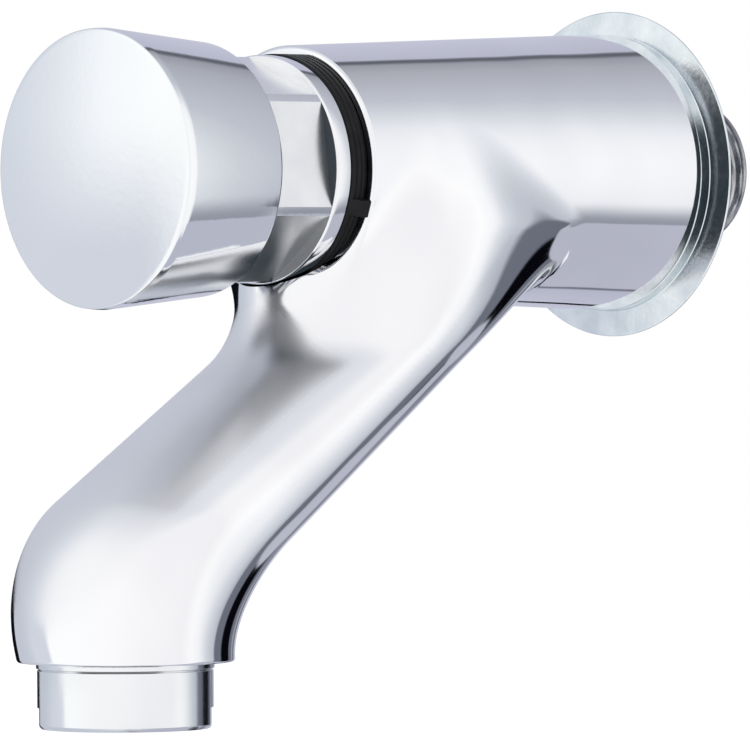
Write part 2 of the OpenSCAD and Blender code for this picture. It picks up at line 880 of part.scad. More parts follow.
module aerator_housing() {
    r = aerator_d / 2;
    ring_r = aerator_ring_d / 2;
    groove_z = outlet_z - aerator_ring_h;
    color("lightgray")
        difference() {
            turned_outlet([
                [insert_r - aerator_lip_w, aerator_bottom],
                [r - aerator_chamfer, aerator_bottom],
                [r, aerator_bottom + aerator_chamfer],
                [r, groove_z - edge_break],
                [r - edge_break / 2, groove_z - edge_break / 2],
                [ring_r, groove_z],
                [ring_r, outlet_z],
                [aerator_thread_d / 2, outlet_z],
                [aerator_thread_d / 2, aerator_top],
                [insert_r + fit_gap, aerator_top],
                [insert_r + fit_gap, screen_bottom],
                [insert_r - aerator_lip_w, screen_bottom]
            ]);
            for (side = [0, 180])
                translate([0, -spout_reach, aerator_bottom - past])
                    rotate([0, 0, side + 45])
                        translate([aerator_af / 2, -r, 0])
                            cube([r, 2 * r, aerator_flat_h + past]);
        }
}

module aerator_washer() {
    color("black")
        turned_outlet([
            [insert_bore_r, insert_top],
            [aerator_thread_d / 2, insert_top],
            [aerator_thread_d / 2, aerator_stop],
            [insert_bore_r, aerator_stop]
        ]);
}

module aerator_insert() {
    bore_r = insert_bore_r;
    plate_t = insert_rim_t;
    jets = 12;
    color("white")
        difference() {
            turned_outlet([
                [0, aerator_top - plate_t],
                [bore_r, aerator_top - plate_t],
                [bore_r, insert_bottom],
                [insert_r, insert_bottom],
                [insert_r, aerator_top],
                [aerator_thread_d / 2, aerator_top],
                [aerator_thread_d / 2, insert_top],
                [bore_r, insert_top],
                [bore_r, aerator_top],
                [0, aerator_top]
            ]);
            for (i = [0 : jets - 1])
                translate([0, -spout_reach, aerator_top - plate_t - past])
                    rotate([0, 0, 360 * i / jets])
                        translate([bore_r - 2 * insert_wall, -bar_w, 0])
                            cube([insert_wall, 2 * bar_w, plate_t + 2 * past]);
        }
}

module aerator_screen() {
    color("silver")
        translate([0, -spout_reach, screen_bottom])
            mesh_disc(insert_r, aerator_lip_w, screen_t);
}

body();
wall_flange();
inlet_nipple();
inlet_strainer();
nipple_seal();
seat_ring();
valve_washer();
washer_holder();
washer_nut();
spindle();
return_spring();
piston();
piston_cup_seal();
bleed_jet();
timing_sleeve();
sleeve_oring();
bonnet();
bonnet_gasket();
guide_bush();
spindle_oring();
bush_circlip();
push_button();
button_lock_nut();
aerator_housing();
aerator_washer();
aerator_insert();
aerator_screen();
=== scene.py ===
import json
import math
import bpy
import numpy as np
from mathutils import Matrix, Vector
from types import SimpleNamespace


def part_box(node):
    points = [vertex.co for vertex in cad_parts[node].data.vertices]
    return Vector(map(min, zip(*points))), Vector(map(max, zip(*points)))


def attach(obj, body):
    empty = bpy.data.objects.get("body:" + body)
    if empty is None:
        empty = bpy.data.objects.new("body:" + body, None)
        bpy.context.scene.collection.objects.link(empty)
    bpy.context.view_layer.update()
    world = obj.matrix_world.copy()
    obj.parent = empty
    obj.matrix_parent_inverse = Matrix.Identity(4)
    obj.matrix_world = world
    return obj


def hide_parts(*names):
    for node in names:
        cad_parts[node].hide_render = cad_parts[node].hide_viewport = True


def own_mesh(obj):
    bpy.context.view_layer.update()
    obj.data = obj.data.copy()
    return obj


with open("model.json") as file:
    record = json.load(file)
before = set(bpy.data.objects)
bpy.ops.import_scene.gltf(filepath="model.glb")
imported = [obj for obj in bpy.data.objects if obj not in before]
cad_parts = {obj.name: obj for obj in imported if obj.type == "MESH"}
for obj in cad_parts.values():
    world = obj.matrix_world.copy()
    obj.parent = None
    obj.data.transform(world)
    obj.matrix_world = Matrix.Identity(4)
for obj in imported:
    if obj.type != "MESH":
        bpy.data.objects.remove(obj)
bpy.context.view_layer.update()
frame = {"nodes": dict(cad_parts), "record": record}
nodes = frame["nodes"]
mm = 0.001


def cadEdge(node, side, axis):  # one side of a CAD node's box, in millimetres
    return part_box(node)[side][axis] / mm


# places along the barrel's axis, measured out from the wall
wallEnd = -cadEdge("body", 1, 1)
barrelFront = -cadEdge("bonnet_gasket", 1, 1)
bonnetSeat = -cadEdge("bonnet_gasket", 0, 1)
headFront = -cadEdge("bonnet", 0, 1)
buttonRear = -cadEdge("push_button", 1, 1)
spoutReach = -(cadEdge("aerator_housing", 0, 1) + cadEdge("aerator_housing", 1, 1)) / 2
outletZ = cadEdge("body", 0, 2)
aeratorBottom = cadEdge("aerator_housing", 0, 2)
aeratorTop = cadEdge("aerator_housing", 1, 2)
tailEnd = -cadEdge("inlet_nipple", 1, 1)
print("frame read")


def settings(shape):  # lets a piece's function read its dictionary as s.name
    return SimpleNamespace(**shape)


def deselectAll():
    for item in bpy.context.selected_objects:
        item.select_set(False)


def makeActive(piece):
    deselectAll()
    piece.select_set(True)
    bpy.context.view_layer.objects.active = piece


def setMode(mode):
    bpy.ops.object.mode_set(mode=mode)


def meshPiece(name, points, faces=(), edges=()):  # points in millimetres
    mesh = bpy.data.meshes.new(name)
    mesh.from_pydata([tuple(c * mm for c in p) for p in points], list(edges), list(faces))
    piece = bpy.data.objects.new(name, mesh)
    bpy.context.scene.collection.objects.link(piece)
    return piece


def applyModifiers(piece):
    makeActive(piece)
    for modifier in list(piece.modifiers):
        bpy.ops.object.modifier_apply(modifier=modifier.name)


def smoothPiece(piece, angle=30):
    makeActive(piece)
    bpy.ops.object.shade_smooth_by_angle(angle=math.radians(angle))


def faceOutward(piece):
    makeActive(piece)
    setMode("EDIT")
    bpy.ops.mesh.select_all(action="SELECT")
    bpy.ops.mesh.normals_make_consistent(inside=False)
    setMode("OBJECT")


def readPoints(mesh):  # the places of its vertices, in millimetres
    flat = np.zeros(len(mesh.vertices) * 3)
    mesh.vertices.foreach_get("co", flat)
    return flat.reshape(-1, 3) / mm


def writePoints(mesh, points):
    mesh.vertices.foreach_set("co", (points * mm).ravel())
    mesh.update()


def wallFaces(rows, around):  # joins each ring of points to the next
    faces = []
    for k in range(rows - 1):
        for j in range(around):
            a, b = k * around + j, k * around + (j + 1) % around
            faces.append((a, b, b + around, a + around))
    return faces


def roundCorners(corners, steps=5):  # corners are (r, u) or (r, u, radius)
    points = []
    count = len(corners)
    for i, corner in enumerate(corners):
        here = Vector(corner[:2])
        radius = corner[2] if len(corner) > 2 else 0
        before = Vector(corners[i - 1][:2]) - here
        after = Vector(corners[(i + 1) % count][:2]) - here
        if radius == 0:
            points.append(here)
            continue
        half = before.angle(after) / 2
        reach = radius / math.tan(half)
        middle = (before.normalized() + after.normalized()).normalized()
        centre = here + middle * radius / math.sin(half)
        start = here + before.normalized() * reach - centre
        end = here + after.normalized() * reach - centre
        for k in range(steps + 1):
            spoke = start.normalized().slerp(end.normalized(), k / steps)
            points.append(centre + spoke * radius)
    return points


def spinPiece(name, profile, closed=True, steps=160, outlet=False):  # a turned piece, spun from its profile
    if outlet:
        points = [(p[0], -spoutReach, p[1]) for p in profile]
    else:
        points = [(p[0], -p[1], 0) for p in profile]
    count = len(points)
    edges = [(i, i + 1) for i in range(count - 1)]
    if closed:
        edges.append((count - 1, 0))
    piece = meshPiece(name, points, edges=edges)
    makeActive(piece)
    setMode("EDIT")
    bpy.ops.mesh.select_all(action="SELECT")
    centre = (0, -spoutReach * mm, 0) if outlet else (0, 0, 0)
    axis = (0, 0, 1) if outlet else (0, 1, 0)
    bpy.ops.mesh.spin(steps=steps, angle=2 * math.pi, center=centre, axis=axis)
    bpy.ops.mesh.select_all(action="SELECT")
    bpy.ops.mesh.remove_doubles(threshold=1e-7)
    bpy.ops.mesh.normals_make_consistent(inside=False)
    setMode("OBJECT")
    return piece


def combine(piece, other, operation="DIFFERENCE"):  # cuts the other shape out of a piece, or adds it on
    tool = piece.modifiers.new("combine", "BOOLEAN")
    tool.operation = operation
    tool.solver = "EXACT"
    tool.object = other
    applyModifiers(piece)
    bpy.data.objects.remove(other)


def cutBlock(piece, size, rotation, centre):  # mills a flat with a block, in millimetres
    deselectAll()
    bpy.ops.mesh.primitive_cube_add(size=1)
    block = bpy.context.object
    block.scale = [side * mm for side in size]
    block.rotation_euler = rotation
    block.location = centre * mm
    bpy.ops.object.transform_apply()
    combine(piece, block)


# body: the barrel and the spout flow into each other
bodyShape = {
    "barrelFrontR": 17.85, "barrelRearR": 20.5, "rimRound": 0.6, "wallRound": 0.2,
    "outletR": 15.4, "outletRun": 0.9, "outletRound": 0.45,
    "spoutHalfWidth": 17.2, "rootHalfWidth": 13.5, "flankHalfWidth": 17.8, "flankSpan": (-0.1, 0.8),
    "rearSquare": 2.8, "chinRadius": 10.8, "lipOut": 6.6, "rootRound": 2.0,
    "frontBend": 20.4, "frontLean": 14.0, "frontSlope": 33.4, "frontTopZ": -8.0,
    "rearBend": 17.7, "rearLean": 3.5, "rearSlope": 36.4, "rearTopZ": -6.1,
    "blendRear": 2.0, "blendSides": 14.0, "blendFront": 6.0,
    "sideBlendSpan": (22, 50), "frontBlendSpan": (54, 74),
    "faceR": 16.66, "faceSink": 0.25, "clearRun": 14.0,  # the room for gasket and bonnet
}
bodyMesh = {
    "bendCount": 900, "runCount": 2100, "belowCount": 300, "below": 8.0, "bendLength": 40, "softWidth": 60,
    "coarseStep": 20, "voxel": 0.75, "spare": 3.0, "barrelInset": 0.5, "barrelSides": 96, "ringSides": 64,
    "firstRing": 180, "ringStep": 60, "rimReach": 1.6, "rimInnerR": 15.0, "lipReach": 8.0, "lipOuterR": 18.5,
    "rimCuts": 3, "relaxReach": 2.2, "relaxInnerR": 14.5, "relaxRounds": 5, "endSteps": 6, "clearSteps": 192,
    "chinCount": 200, "ringShift": 0.02, "skinGap": 0.02, "skinAgree": 0.8,
}


def easeStep(value, low, high):  # runs smoothly from 0 to 1
    k = np.clip((value - low) / (high - low), 0, 1)
    return k * k * (3 - 2 * k)


def bendPath(start, lean, slope, radius, count):
    heading = np.radians(np.linspace(90 + lean, slope, count))
    first = math.radians(90 + lean)
    return np.c_[
        start + radius * (np.sin(heading) - math.sin(first)),
        outletZ + bodyShape["outletRun"] + radius * (np.cos(heading) - math.cos(first)),
    ]


def evenSteps(path, count):  # points at equal distances along a path
    gaps = np.hypot(*np.diff(path, axis=0).T)
    along = np.r_[0, np.cumsum(gaps)]
    places = np.linspace(0, along[-1], count)
    return np.c_[np.interp(places, along, path[:, 0]), np.interp(places, along, path[:, 1])]


def soften(values, width):  # evens out the steps in curvature along a path
    weights = np.hanning(2 * width + 3)[1:-1]
    weights /= weights.sum()
    head = 2 * values[0] - values[width:0:-1]
    tail = 2 * values[-1] - values[-2:-width - 2:-1]
    return np.convolve(np.concatenate([head, values, tail]), weights, mode="valid")


def spoutSections(s):  # front edge, back edge and half width, from below the outlet to the root
    slopeF = math.radians(s.frontSlope)
    slopeR = math.radians(s.rearSlope)
    bendCount, runCount, belowCount = bodyMesh["bendCount"], bodyMesh["runCount"], bodyMesh["belowCount"]
    outletR, spoutHalf = s.outletR, s.spoutHalfWidth
    front = bendPath(spoutReach + outletR, s.frontLean, s.frontSlope, s.frontBend, bendCount)
    rear = bendPath(spoutReach - outletR, s.rearLean, s.rearSlope, s.rearBend, bendCount)
    lipU = barrelFront + s.lipOut
    turn = np.linspace(slopeF, math.pi / 2, bodyMesh["chinCount"])
    chin = s.chinRadius * np.c_[math.sin(slopeF) - np.sin(turn), math.cos(slopeF) - np.cos(turn)]
    lineLength = (front[-1, 0] - lipU + chin[-1, 0]) / math.cos(slopeF)
    chinFoot = front[-1] + lineLength * np.array([-math.cos(slopeF), math.sin(slopeF)])
    run = np.vstack([front[-1:], chinFoot + chin, [[lipU, s.frontTopZ]]])
    frontRun = evenSteps(run, runCount)
    climb = s.rearTopZ - rear[-1, 1]
    rearRun = evenSteps(np.vstack([rear[-1:], rear[-1:] + [[-climb / math.tan(slopeR), climb]]]), runCount)
    below = np.linspace(-1, 0, belowCount, endpoint=False)[:, None] * bodyMesh["below"]  # past the outlet
    frontBelow = front[0] + below * np.array([math.sin(math.radians(s.frontLean)), 1])
    rearBelow = rear[0] + below * np.array([math.sin(math.radians(s.rearLean)), 1])
    half = outletR + (spoutHalf - outletR) * np.sin(np.linspace(0, math.pi / 2, bendCount))
    rootward = np.linspace(spoutHalf, s.rootHalfWidth, runCount)
    belowWidth = outletR + below[:, 0] * (half[1] - half[0]) * bendCount / bodyMesh["bendLength"]
    frontAll = np.vstack([frontBelow, front, frontRun[1:]])
    rearAll = np.vstack([rearBelow, rear, rearRun[1:]])
    width = np.concatenate([belowWidth, half, rootward[1:]])
    rise = np.concatenate([np.zeros(belowCount), np.linspace(0, 1, bendCount), np.ones(runCount - 1)])
    rise = rise ** 2 * (3 - 2 * rise)  # the back turns from round to square over the bend
    onRun = np.concatenate([np.zeros(belowCount + bendCount), np.linspace(0, 1, runCount)[1:]])
    flank = width + onRun * (s.flankHalfWidth - s.rootHalfWidth)
    square = 2 + (s.rearSquare - 2) * rise
    columns = [frontAll[:, 0], frontAll[:, 1], rearAll[:, 0], rearAll[:, 1], width, flank, square]
    return np.array([soften(c, bodyMesh["softWidth"]) for c in columns])


def widthAt(across, width, flank):  # half width of a section, narrower at its front than at its back
    return width + (flank - width) * (1 - easeStep(across, *bodyShape["flankSpan"]))


class SpoutField:  # signed distance to the spout's lofted skin
    def __init__(self, s):
        fu, fz, ru, rz, width, flank, square = spoutSections(s)
        middle = [(fu + ru) / 2, (fz + rz) / 2]
        self.table = np.array([*middle, (fu - ru) / 2, (fz - rz) / 2, width, flank, square])
        self.steps = np.arange(self.table.shape[1])
        self.coarse = self.steps[:: bodyMesh["coarseStep"]]
        self.rootRound = s.rootRound

    def at(self, k):
        return [np.interp(k, self.steps, row) for row in self.table]

    def side(self, u, z, k):
        midU, midZ, halfU, halfZ = self.at(k)[:4]
        return halfU * (z - midZ) - halfZ * (u - midU)

    def distance(self, x, u, z):
        midU, midZ, halfU, halfZ = self.table[:4, self.coarse]
        signs = halfU * (z[:, None] - midZ) - halfZ * (u[:, None] - midU) > 0
        last = len(self.coarse) - 1
        passed = np.where(signs.any(axis=1), last - np.argmax(signs[:, ::-1], axis=1), 0)
        low = self.coarse[passed].astype(float)
        high = self.coarse[np.minimum(passed + 1, last)].astype(float)
        sideLow = self.side(u, z, low)
        sideHigh = self.side(u, z, high)
        k = low
        for _ in range(3):  # closes in on the section through each point
            span = sideLow - sideHigh
            k = low + (high - low) * np.clip(sideLow / np.where(np.abs(span) < 1e-12, 1, span), 0, 1)
            sideK = self.side(u, z, k)
            above = sideK > 0
            low, sideLow = np.where(above, k, low), np.where(above, sideK, sideLow)
            high, sideHigh = np.where(above, high, k), np.where(above, sideHigh, sideK)
        midU, midZ, halfU, halfZ, width, flank, square = self.at(k)
        halfL = np.hypot(halfU, halfZ)
        across = ((u - midU) * halfU + (z - midZ) * halfZ) / halfL ** 2
        wide = widthAt(across, width, flank)
        n = np.where(across > 0, 2, square)
        along, aside = np.abs(across), np.abs(x) / wide
        g = (along ** n + aside ** n) ** (1 / n) + 1e-9
        slope = np.hypot((along / g) ** (n - 1) / halfL, (aside / g) ** (n - 1) / wide) + 1e-9
        lastK = np.full_like(u, self.steps[-1])  # the loft ends inside the barrel
        pastRoot = self.side(u, z, lastK) / math.hypot(*self.table[2:4, -1])
        return roundMax((g - 1) / slope, pastRoot, self.rootRound)


def blendMin(a, b, reach):  # joins two shapes with a hollow fillet
    mix = np.clip(0.5 + 0.5 * (b - a) / reach, 0, 1)
    return b + (a - b) * mix - reach * mix * (1 - mix)


def roundMax(a, b, radius):  # cuts one shape by another with a rounded edge
    inA = np.maximum(a + radius, 0)
    inB = np.maximum(b + radius, 0)
    return np.minimum(np.maximum(a, b), -radius) + np.hypot(inA, inB)


def bodyField(s):
    spout = SpoutField(s)
    taper = (s.barrelRearR - s.barrelFrontR) / (barrelFront - wallEnd)

    def distance(points):
        x, u, z = points[:, 0], -points[:, 1], points[:, 2]
        r = np.hypot(x, z)
        barrel = (r - s.barrelRearR + taper * (u - wallEnd)) / math.hypot(1, taper)
        barrel = roundMax(barrel, u - barrelFront, s.rimRound)
        toSides = (s.blendSides - s.blendRear) * easeStep(u, *s.sideBlendSpan)
        toFront = (s.blendFront - s.blendSides) * easeStep(u, *s.frontBlendSpan)
        reach = s.blendRear + toSides + toFront
        return blendMin(barrel, spout.distance(x, u, z), reach)

    def ended(points):  # cut square at the wall and at the outlet
        skin = roundMax(distance(points), wallEnd + points[:, 1], s.wallRound)
        return roundMax(skin, outletZ - points[:, 2], s.outletRound)

    return distance, ended


def fieldNormals(distance, points, step=0.06):
    normals = np.zeros_like(points)
    for axis in range(3):
        shift = np.zeros(3)
        shift[axis] = step
        normals[:, axis] = distance(points + shift) - distance(points - shift)
    return normals / (2 * step)


def offField(distance, points, slope):  # the step from each point to the skin
    size = np.maximum((slope ** 2).sum(axis=1), 0.2)  # kept from nought where the field is flat
    return (distance(points) / size)[:, None] * slope


def settleOnField(piece, distance, rounds):  # moves every vertex onto the skin
    points = readPoints(piece.data)
    for _ in range(rounds):
        points -= offField(distance, points, fieldNormals(distance, points))
    writePoints(piece.data, points)
    return points


def selectVertices(piece, chosen):
    setMode("EDIT")
    bpy.ops.mesh.select_mode(type="VERT")
    bpy.ops.mesh.select_all(action="DESELECT")
    setMode("OBJECT")
    piece.data.vertices.foreach_set("select", chosen)
    setMode("EDIT")


def roundedEnd(piece, distance, ended, point, outward, radius):  # a square end with a rounded edge
    makeActive(piece)
    setMode("EDIT")
    bpy.ops.mesh.select_mode(type="VERT")
    bpy.ops.mesh.select_all(action="SELECT")
    start = Vector(point) - Vector(outward) * radius
    bpy.ops.mesh.bisect(plane_co=start * mm, plane_no=outward, clear_outer=True)
    away = np.array(outward, dtype=float)
    turns = np.radians(np.linspace(0, 90, bodyMesh["endSteps"]))
    for before, after in zip(turns[:-1], turns[1:]):
        bpy.ops.mesh.extrude_region()
        setMode("OBJECT")
        mesh = piece.data
        chosen = np.zeros(len(mesh.vertices), dtype=bool)
        mesh.vertices.foreach_get("select", chosen)
        points = readPoints(mesh)
        ring = points[chosen]
        aside = fieldNormals(distance, ring)
        aside -= np.outer(aside @ away, away)
        aside /= np.linalg.norm(aside, axis=1)[:, None]
        ring += away * radius * (math.sin(after) - math.sin(before))
        ring -= aside * radius * (math.cos(before) - math.cos(after))
        if after < turns[-1]:
            ring -= offField(ended, ring, fieldNormals(ended, ring, bodyMesh["ringShift"]))
        points[chosen] = ring
        writePoints(mesh, points)
        setMode("EDIT")
    bpy.ops.mesh.edge_face_add()
    setMode("OBJECT")
    faceOutward(piece)


def startSpout(s):  # rough rings of the spout, from below the outlet up
    rings = spoutSections(s)[:, bodyMesh["firstRing"]::bodyMesh["ringStep"]]
    sides = bodyMesh["ringSides"]
    points = []
    for fu, fz, ru, rz, width, flank, square in rings.T:
        for a in np.linspace(0, 2 * math.pi, sides, endpoint=False):
            power = 1 if math.sin(a) > 0 else 2 / square
            lift = math.copysign(abs(math.sin(a)) ** power, math.sin(a))
            points.append((
                widthAt(lift, width, flank) * math.copysign(abs(math.cos(a)) ** power, math.cos(a)),
                -((fu + ru) / 2 + (fu - ru) / 2 * lift),
                (fz + rz) / 2 + (fz - rz) / 2 * lift,
            ))
    count = rings.shape[1]
    ends = [tuple(reversed(range(sides))), tuple(range((count - 1) * sides, count * sides))]
    spout = meshPiece("spoutStart", points, ends + wallFaces(count, sides))
    faceOutward(spout)
    return spout


def refineRim(body, distance, points):  # finer faces at the barrel's rim and the spout's lip
    u, r = -points[:, 1], np.hypot(points[:, 0], points[:, 2])
    atRim = (np.abs(u - barrelFront) < bodyMesh["rimReach"]) & (r > bodyMesh["rimInnerR"])
    atLip = (u > barrelFront) & (u < barrelFront + bodyMesh["lipReach"]) & (r < bodyMesh["lipOuterR"])
    selectVertices(body, atRim | atLip)
    bpy.ops.mesh.subdivide(number_cuts=bodyMesh["rimCuts"])
    setMode("OBJECT")
    for _ in range(bodyMesh["relaxRounds"]):  # spreads the new vertices evenly
        points = settleOnField(body, distance, 2)
        u, r = -points[:, 1], np.hypot(points[:, 0], points[:, 2])
        nearRim = np.abs(u - barrelFront) < bodyMesh["relaxReach"]
        selectVertices(body, nearRim & (r > bodyMesh["relaxInnerR"]))
        bpy.ops.mesh.vertices_smooth(factor=0.5, repeat=2)
        setMode("OBJECT")
    settleOnField(body, distance, 3)


def makeBody(s):
    distance, ended = bodyField(s)
    rear = wallEnd - bodyMesh["spare"]
    deselectAll()
    bpy.ops.mesh.primitive_cylinder_add(
        vertices=bodyMesh["barrelSides"],
        radius=(s.barrelRearR - bodyMesh["barrelInset"]) * mm,
        depth=(barrelFront - rear) * mm,
        location=(0, -(barrelFront + rear) / 2 * mm, 0),
        rotation=(math.pi / 2, 0, 0),
    )
    body = bpy.context.object
    body.name = "tapBody"
    bpy.ops.object.transform_apply()
    spout = startSpout(s)
    makeActive(body)
    spout.select_set(True)
    bpy.ops.object.join()
    body.data.remesh_voxel_size = bodyMesh["voxel"] * mm
    bpy.ops.object.voxel_remesh()
    points = settleOnField(body, distance, 4)
    print("body settled", len(points))
    refineRim(body, distance, points)
    print("body edges refined", len(body.data.vertices))
    roundedEnd(body, distance, ended, (0, -wallEnd, 0), (0, 1, 0), s.wallRound)
    roundedEnd(body, distance, ended, (0, 0, outletZ), (0, 0, -1), s.outletRound)
    floor, top = barrelFront - s.faceSink, barrelFront + s.clearRun
    profile = [(0, floor), (s.faceR, floor), (s.faceR, top), (0, top)]
    combine(body, spinPiece("bonnetClearance", profile, closed=False, steps=bodyMesh["clearSteps"]))
    print("body ends cut", len(body.data.polygons))
    return body, ended


waterway = {
    "nippleSocketR": 10.05, "nippleStop": 15.5, "valveChamberR": 9.0, "seatRear": 20.0, "seatR": 11.05,
    "seatFront": 25.0, "chamberR": 13.6, "spigotRear": 53.0, "spigotR": 14.45, "outletSocketR": 11.45,
    "outletStop": -59.6, "elbowZ": -55.0, "boreR": 6.2, "slope": 34.9, "topZ": -9.0,
    "overrun": 1, "elbowEase": 0.05, "steps": 96, "slantedSides": 64,
}


def hollowBody(body, w):  # the bores that the inner pieces sit in
    rear, front = wallEnd - w.overrun, barrelFront + w.overrun
    profile = [
        (0, rear), (w.nippleSocketR, rear), (w.nippleSocketR, w.nippleStop),
        (w.valveChamberR, w.nippleStop), (w.valveChamberR, w.seatRear),
        (w.seatR, w.seatRear), (w.seatR, w.seatFront),
        (w.chamberR, w.seatFront), (w.chamberR, w.spigotRear),
        (w.spigotR, w.spigotRear), (w.spigotR, front), (0, front),
    ]
    combine(body, spinPiece("barrelBore", profile, closed=False, steps=w.steps))
    mouth, elbowR = outletZ - w.overrun, w.boreR + w.elbowEase
    profile = [
        (0, mouth), (w.outletSocketR, mouth), (w.outletSocketR, w.outletStop),
        (elbowR, w.outletStop), (elbowR, w.elbowZ), (0, w.elbowZ + w.boreR),
    ]
    combine(body, spinPiece("outletBore", roundCorners(profile), closed=False, steps=w.steps, outlet=True))
    length = (w.topZ - w.elbowZ) / math.sin(math.radians(w.slope)) * mm
    tilt = math.radians(90 - w.slope)
    elbow = Vector((0, -spoutReach * mm, w.elbowZ * mm))
    deselectAll()
    bpy.ops.mesh.primitive_cylinder_add(
        vertices=w.slantedSides,
        radius=w.boreR * mm,
        depth=length,
        location=elbow + Vector((0, math.sin(tilt), math.cos(tilt))) * length / 2,
        rotation=(-tilt, 0, 0),
    )
    slanted = bpy.context.object
    bpy.ops.object.transform_apply()
    combine(body, slanted)


def shadeBody(body, distance):  # true normals on the skin, plain ones in the bores
    smoothPiece(body, 40)
    mesh = body.data
    points = readPoints(mesh)
    onSkin = np.abs(distance(points)) < bodyMesh["skinGap"]
    normals = fieldNormals(distance, points)
    normals /= np.linalg.norm(normals, axis=1)[:, None] + 1e-12
    loopVertex = np.zeros(len(mesh.loops), dtype=np.int32)
    mesh.loops.foreach_get("vertex_index", loopVertex)
    faceNormals = np.zeros(len(mesh.polygons) * 3)
    mesh.polygons.foreach_get("normal", faceNormals)
    faceSizes = np.zeros(len(mesh.polygons), dtype=np.int32)
    mesh.polygons.foreach_get("loop_total", faceSizes)
    loopFace = np.repeat(np.arange(len(faceSizes)), faceSizes)
    skinNormal = normals[loopVertex]
    agree = (skinNormal * faceNormals.reshape(-1, 3)[loopFace]).sum(axis=1) > bodyMesh["skinAgree"]
    skinNormal[~(onSkin[loopVertex] & agree)] = 0
    mesh.normals_split_custom_set(skinNormal.tolist())


body, bodyDistance = makeBody(settings(bodyShape))
hollowBody(body, settings(waterway))
shadeBody(body, bodyDistance)
print("body made", len(body.data.polygons))
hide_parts("body")
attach(body, "tap")

# push button: a turned cap with a domed face
buttonShape = {
    "rearR": 18.05, "frontR": 19.75, "frontU": 104.6, "dome": 0.6, "edge": 0.25, "ease": 0.1, "skirtR": 16.6,
    "floorU": 102.4, "bossR": 5.0, "bossU": 94.0, "holeR": 2.05, "holeU": 100.1,
    "rearRound": 0.6, "skirtRound": 0.35, "floorRound": 1.0, "bossRound": 0.3, "holeRound": 0.2,
    "faceRings": 24, "easeRings": 6, "easeStart": 0.3, "easeRun": 0.2,
}


def makeButton(s):
    frontR, frontU = s.frontR, s.frontU
    rings, turns = s.faceRings, s.easeRings
    faceR = frontR - s.ease
    face = [(faceR * k / rings, frontU + s.dome * (1 - (k / rings) ** 2)) for k in range(rings)]
    eased = []  # the side draws in a little towards the face
    for k in range(turns - 1, -1, -1):
        inset = s.ease * k * k / turns ** 2
        eased.append((frontR - inset, frontU - s.easeStart - (turns - k) * s.easeRun))
    outline = [
        *face,
        (faceR, frontU, s.edge),
        *eased,
        (s.rearR, buttonRear, s.rearRound),
        (s.skirtR, buttonRear, s.skirtRound),
        (s.skirtR, s.floorU, s.floorRound),
        (s.bossR, s.floorU, s.floorRound),
        (s.bossR, s.bossU, s.bossRound),
        (s.holeR, s.bossU, s.holeRound),
        (s.holeR, s.holeU),
        (0, s.holeU),
    ]
    button = spinPiece("pushButton", roundCorners(outline, 6), closed=False, steps=224)
    smoothPiece(button, 40)
    return button


button = makeButton(settings(buttonShape))
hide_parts("push_button")
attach(button, "plunger")
print("button made")

# bonnet: turned collar and spigot, six milled flats on the head
bonnetShape = {
    "spigotR": 14.4, "spigotRear": 53.0, "collarR": 16.4, "stepU": 73.0, "headR": 16.2, "edge": 0.35,
    "recessR": 9.0, "recessDepth": 10.0, "boreR": 5.0, "sleeveR": 12.45, "sleeveDepth": 5.0,
    "headRound": 0.6, "round": 0.4, "smallRound": 0.2, "overlap": 0.01,
    "flats": 6, "flatAcross": 28.7, "flatTurn": 8, "blockDepth": 10, "blockWidth": 40, "blockSpare": 4,
}


def makeBonnet(s):
    recessFloor = headFront - s.recessDepth
    sleeveEnd = s.spigotRear + s.sleeveDepth
    collarFront = s.stepU - s.overlap
    corners = [
        (s.headR, headFront, s.headRound),
        (s.headR, collarFront),
        (s.collarR, collarFront, s.edge),
        (s.collarR, bonnetSeat, s.smallRound),
        (s.spigotR, bonnetSeat),
        (s.spigotR, s.spigotRear, s.round),
        (s.sleeveR, s.spigotRear, s.smallRound),
        (s.sleeveR, sleeveEnd),
        (s.boreR, sleeveEnd),
        (s.boreR, recessFloor),
        (s.recessR, recessFloor),
        (s.recessR, headFront, s.round),
    ]
    bonnet = spinPiece("bonnetHead", roundCorners(corners), steps=192)
    length = headFront - s.stepU + s.blockSpare
    for k in range(s.flats):
        turn = math.radians(s.flatTurn + 360 / s.flats * k)
        centre = Vector((math.cos(turn), 0, math.sin(turn))) * (s.flatAcross + s.blockDepth) / 2
        centre.y = -(s.stepU + length / 2)
        cutBlock(bonnet, (s.blockDepth, length, s.blockWidth), (0, -turn, 0), centre)
    smoothPiece(bonnet, 25)
    return bonnet


bonnet = makeBonnet(settings(bonnetShape))
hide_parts("bonnet")
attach(bonnet, "tap")
print("bonnet made")

# gasket: black rubber ring with three ridges and a tab
gasketShape = {
    "innerR": 14.45, "outerR": 16.6, "ridges": 3, "ridgeRound": 0.1, "groove": 0.4, "grooveHalf": 0.25,
    "grooveRound": 0.08, "edge": 0.2,
    "tabTurn": -19, "tabWidth": 2.4, "tabOut": 1.4, "tabIn": 1.2, "tabSink": 0.1,
}


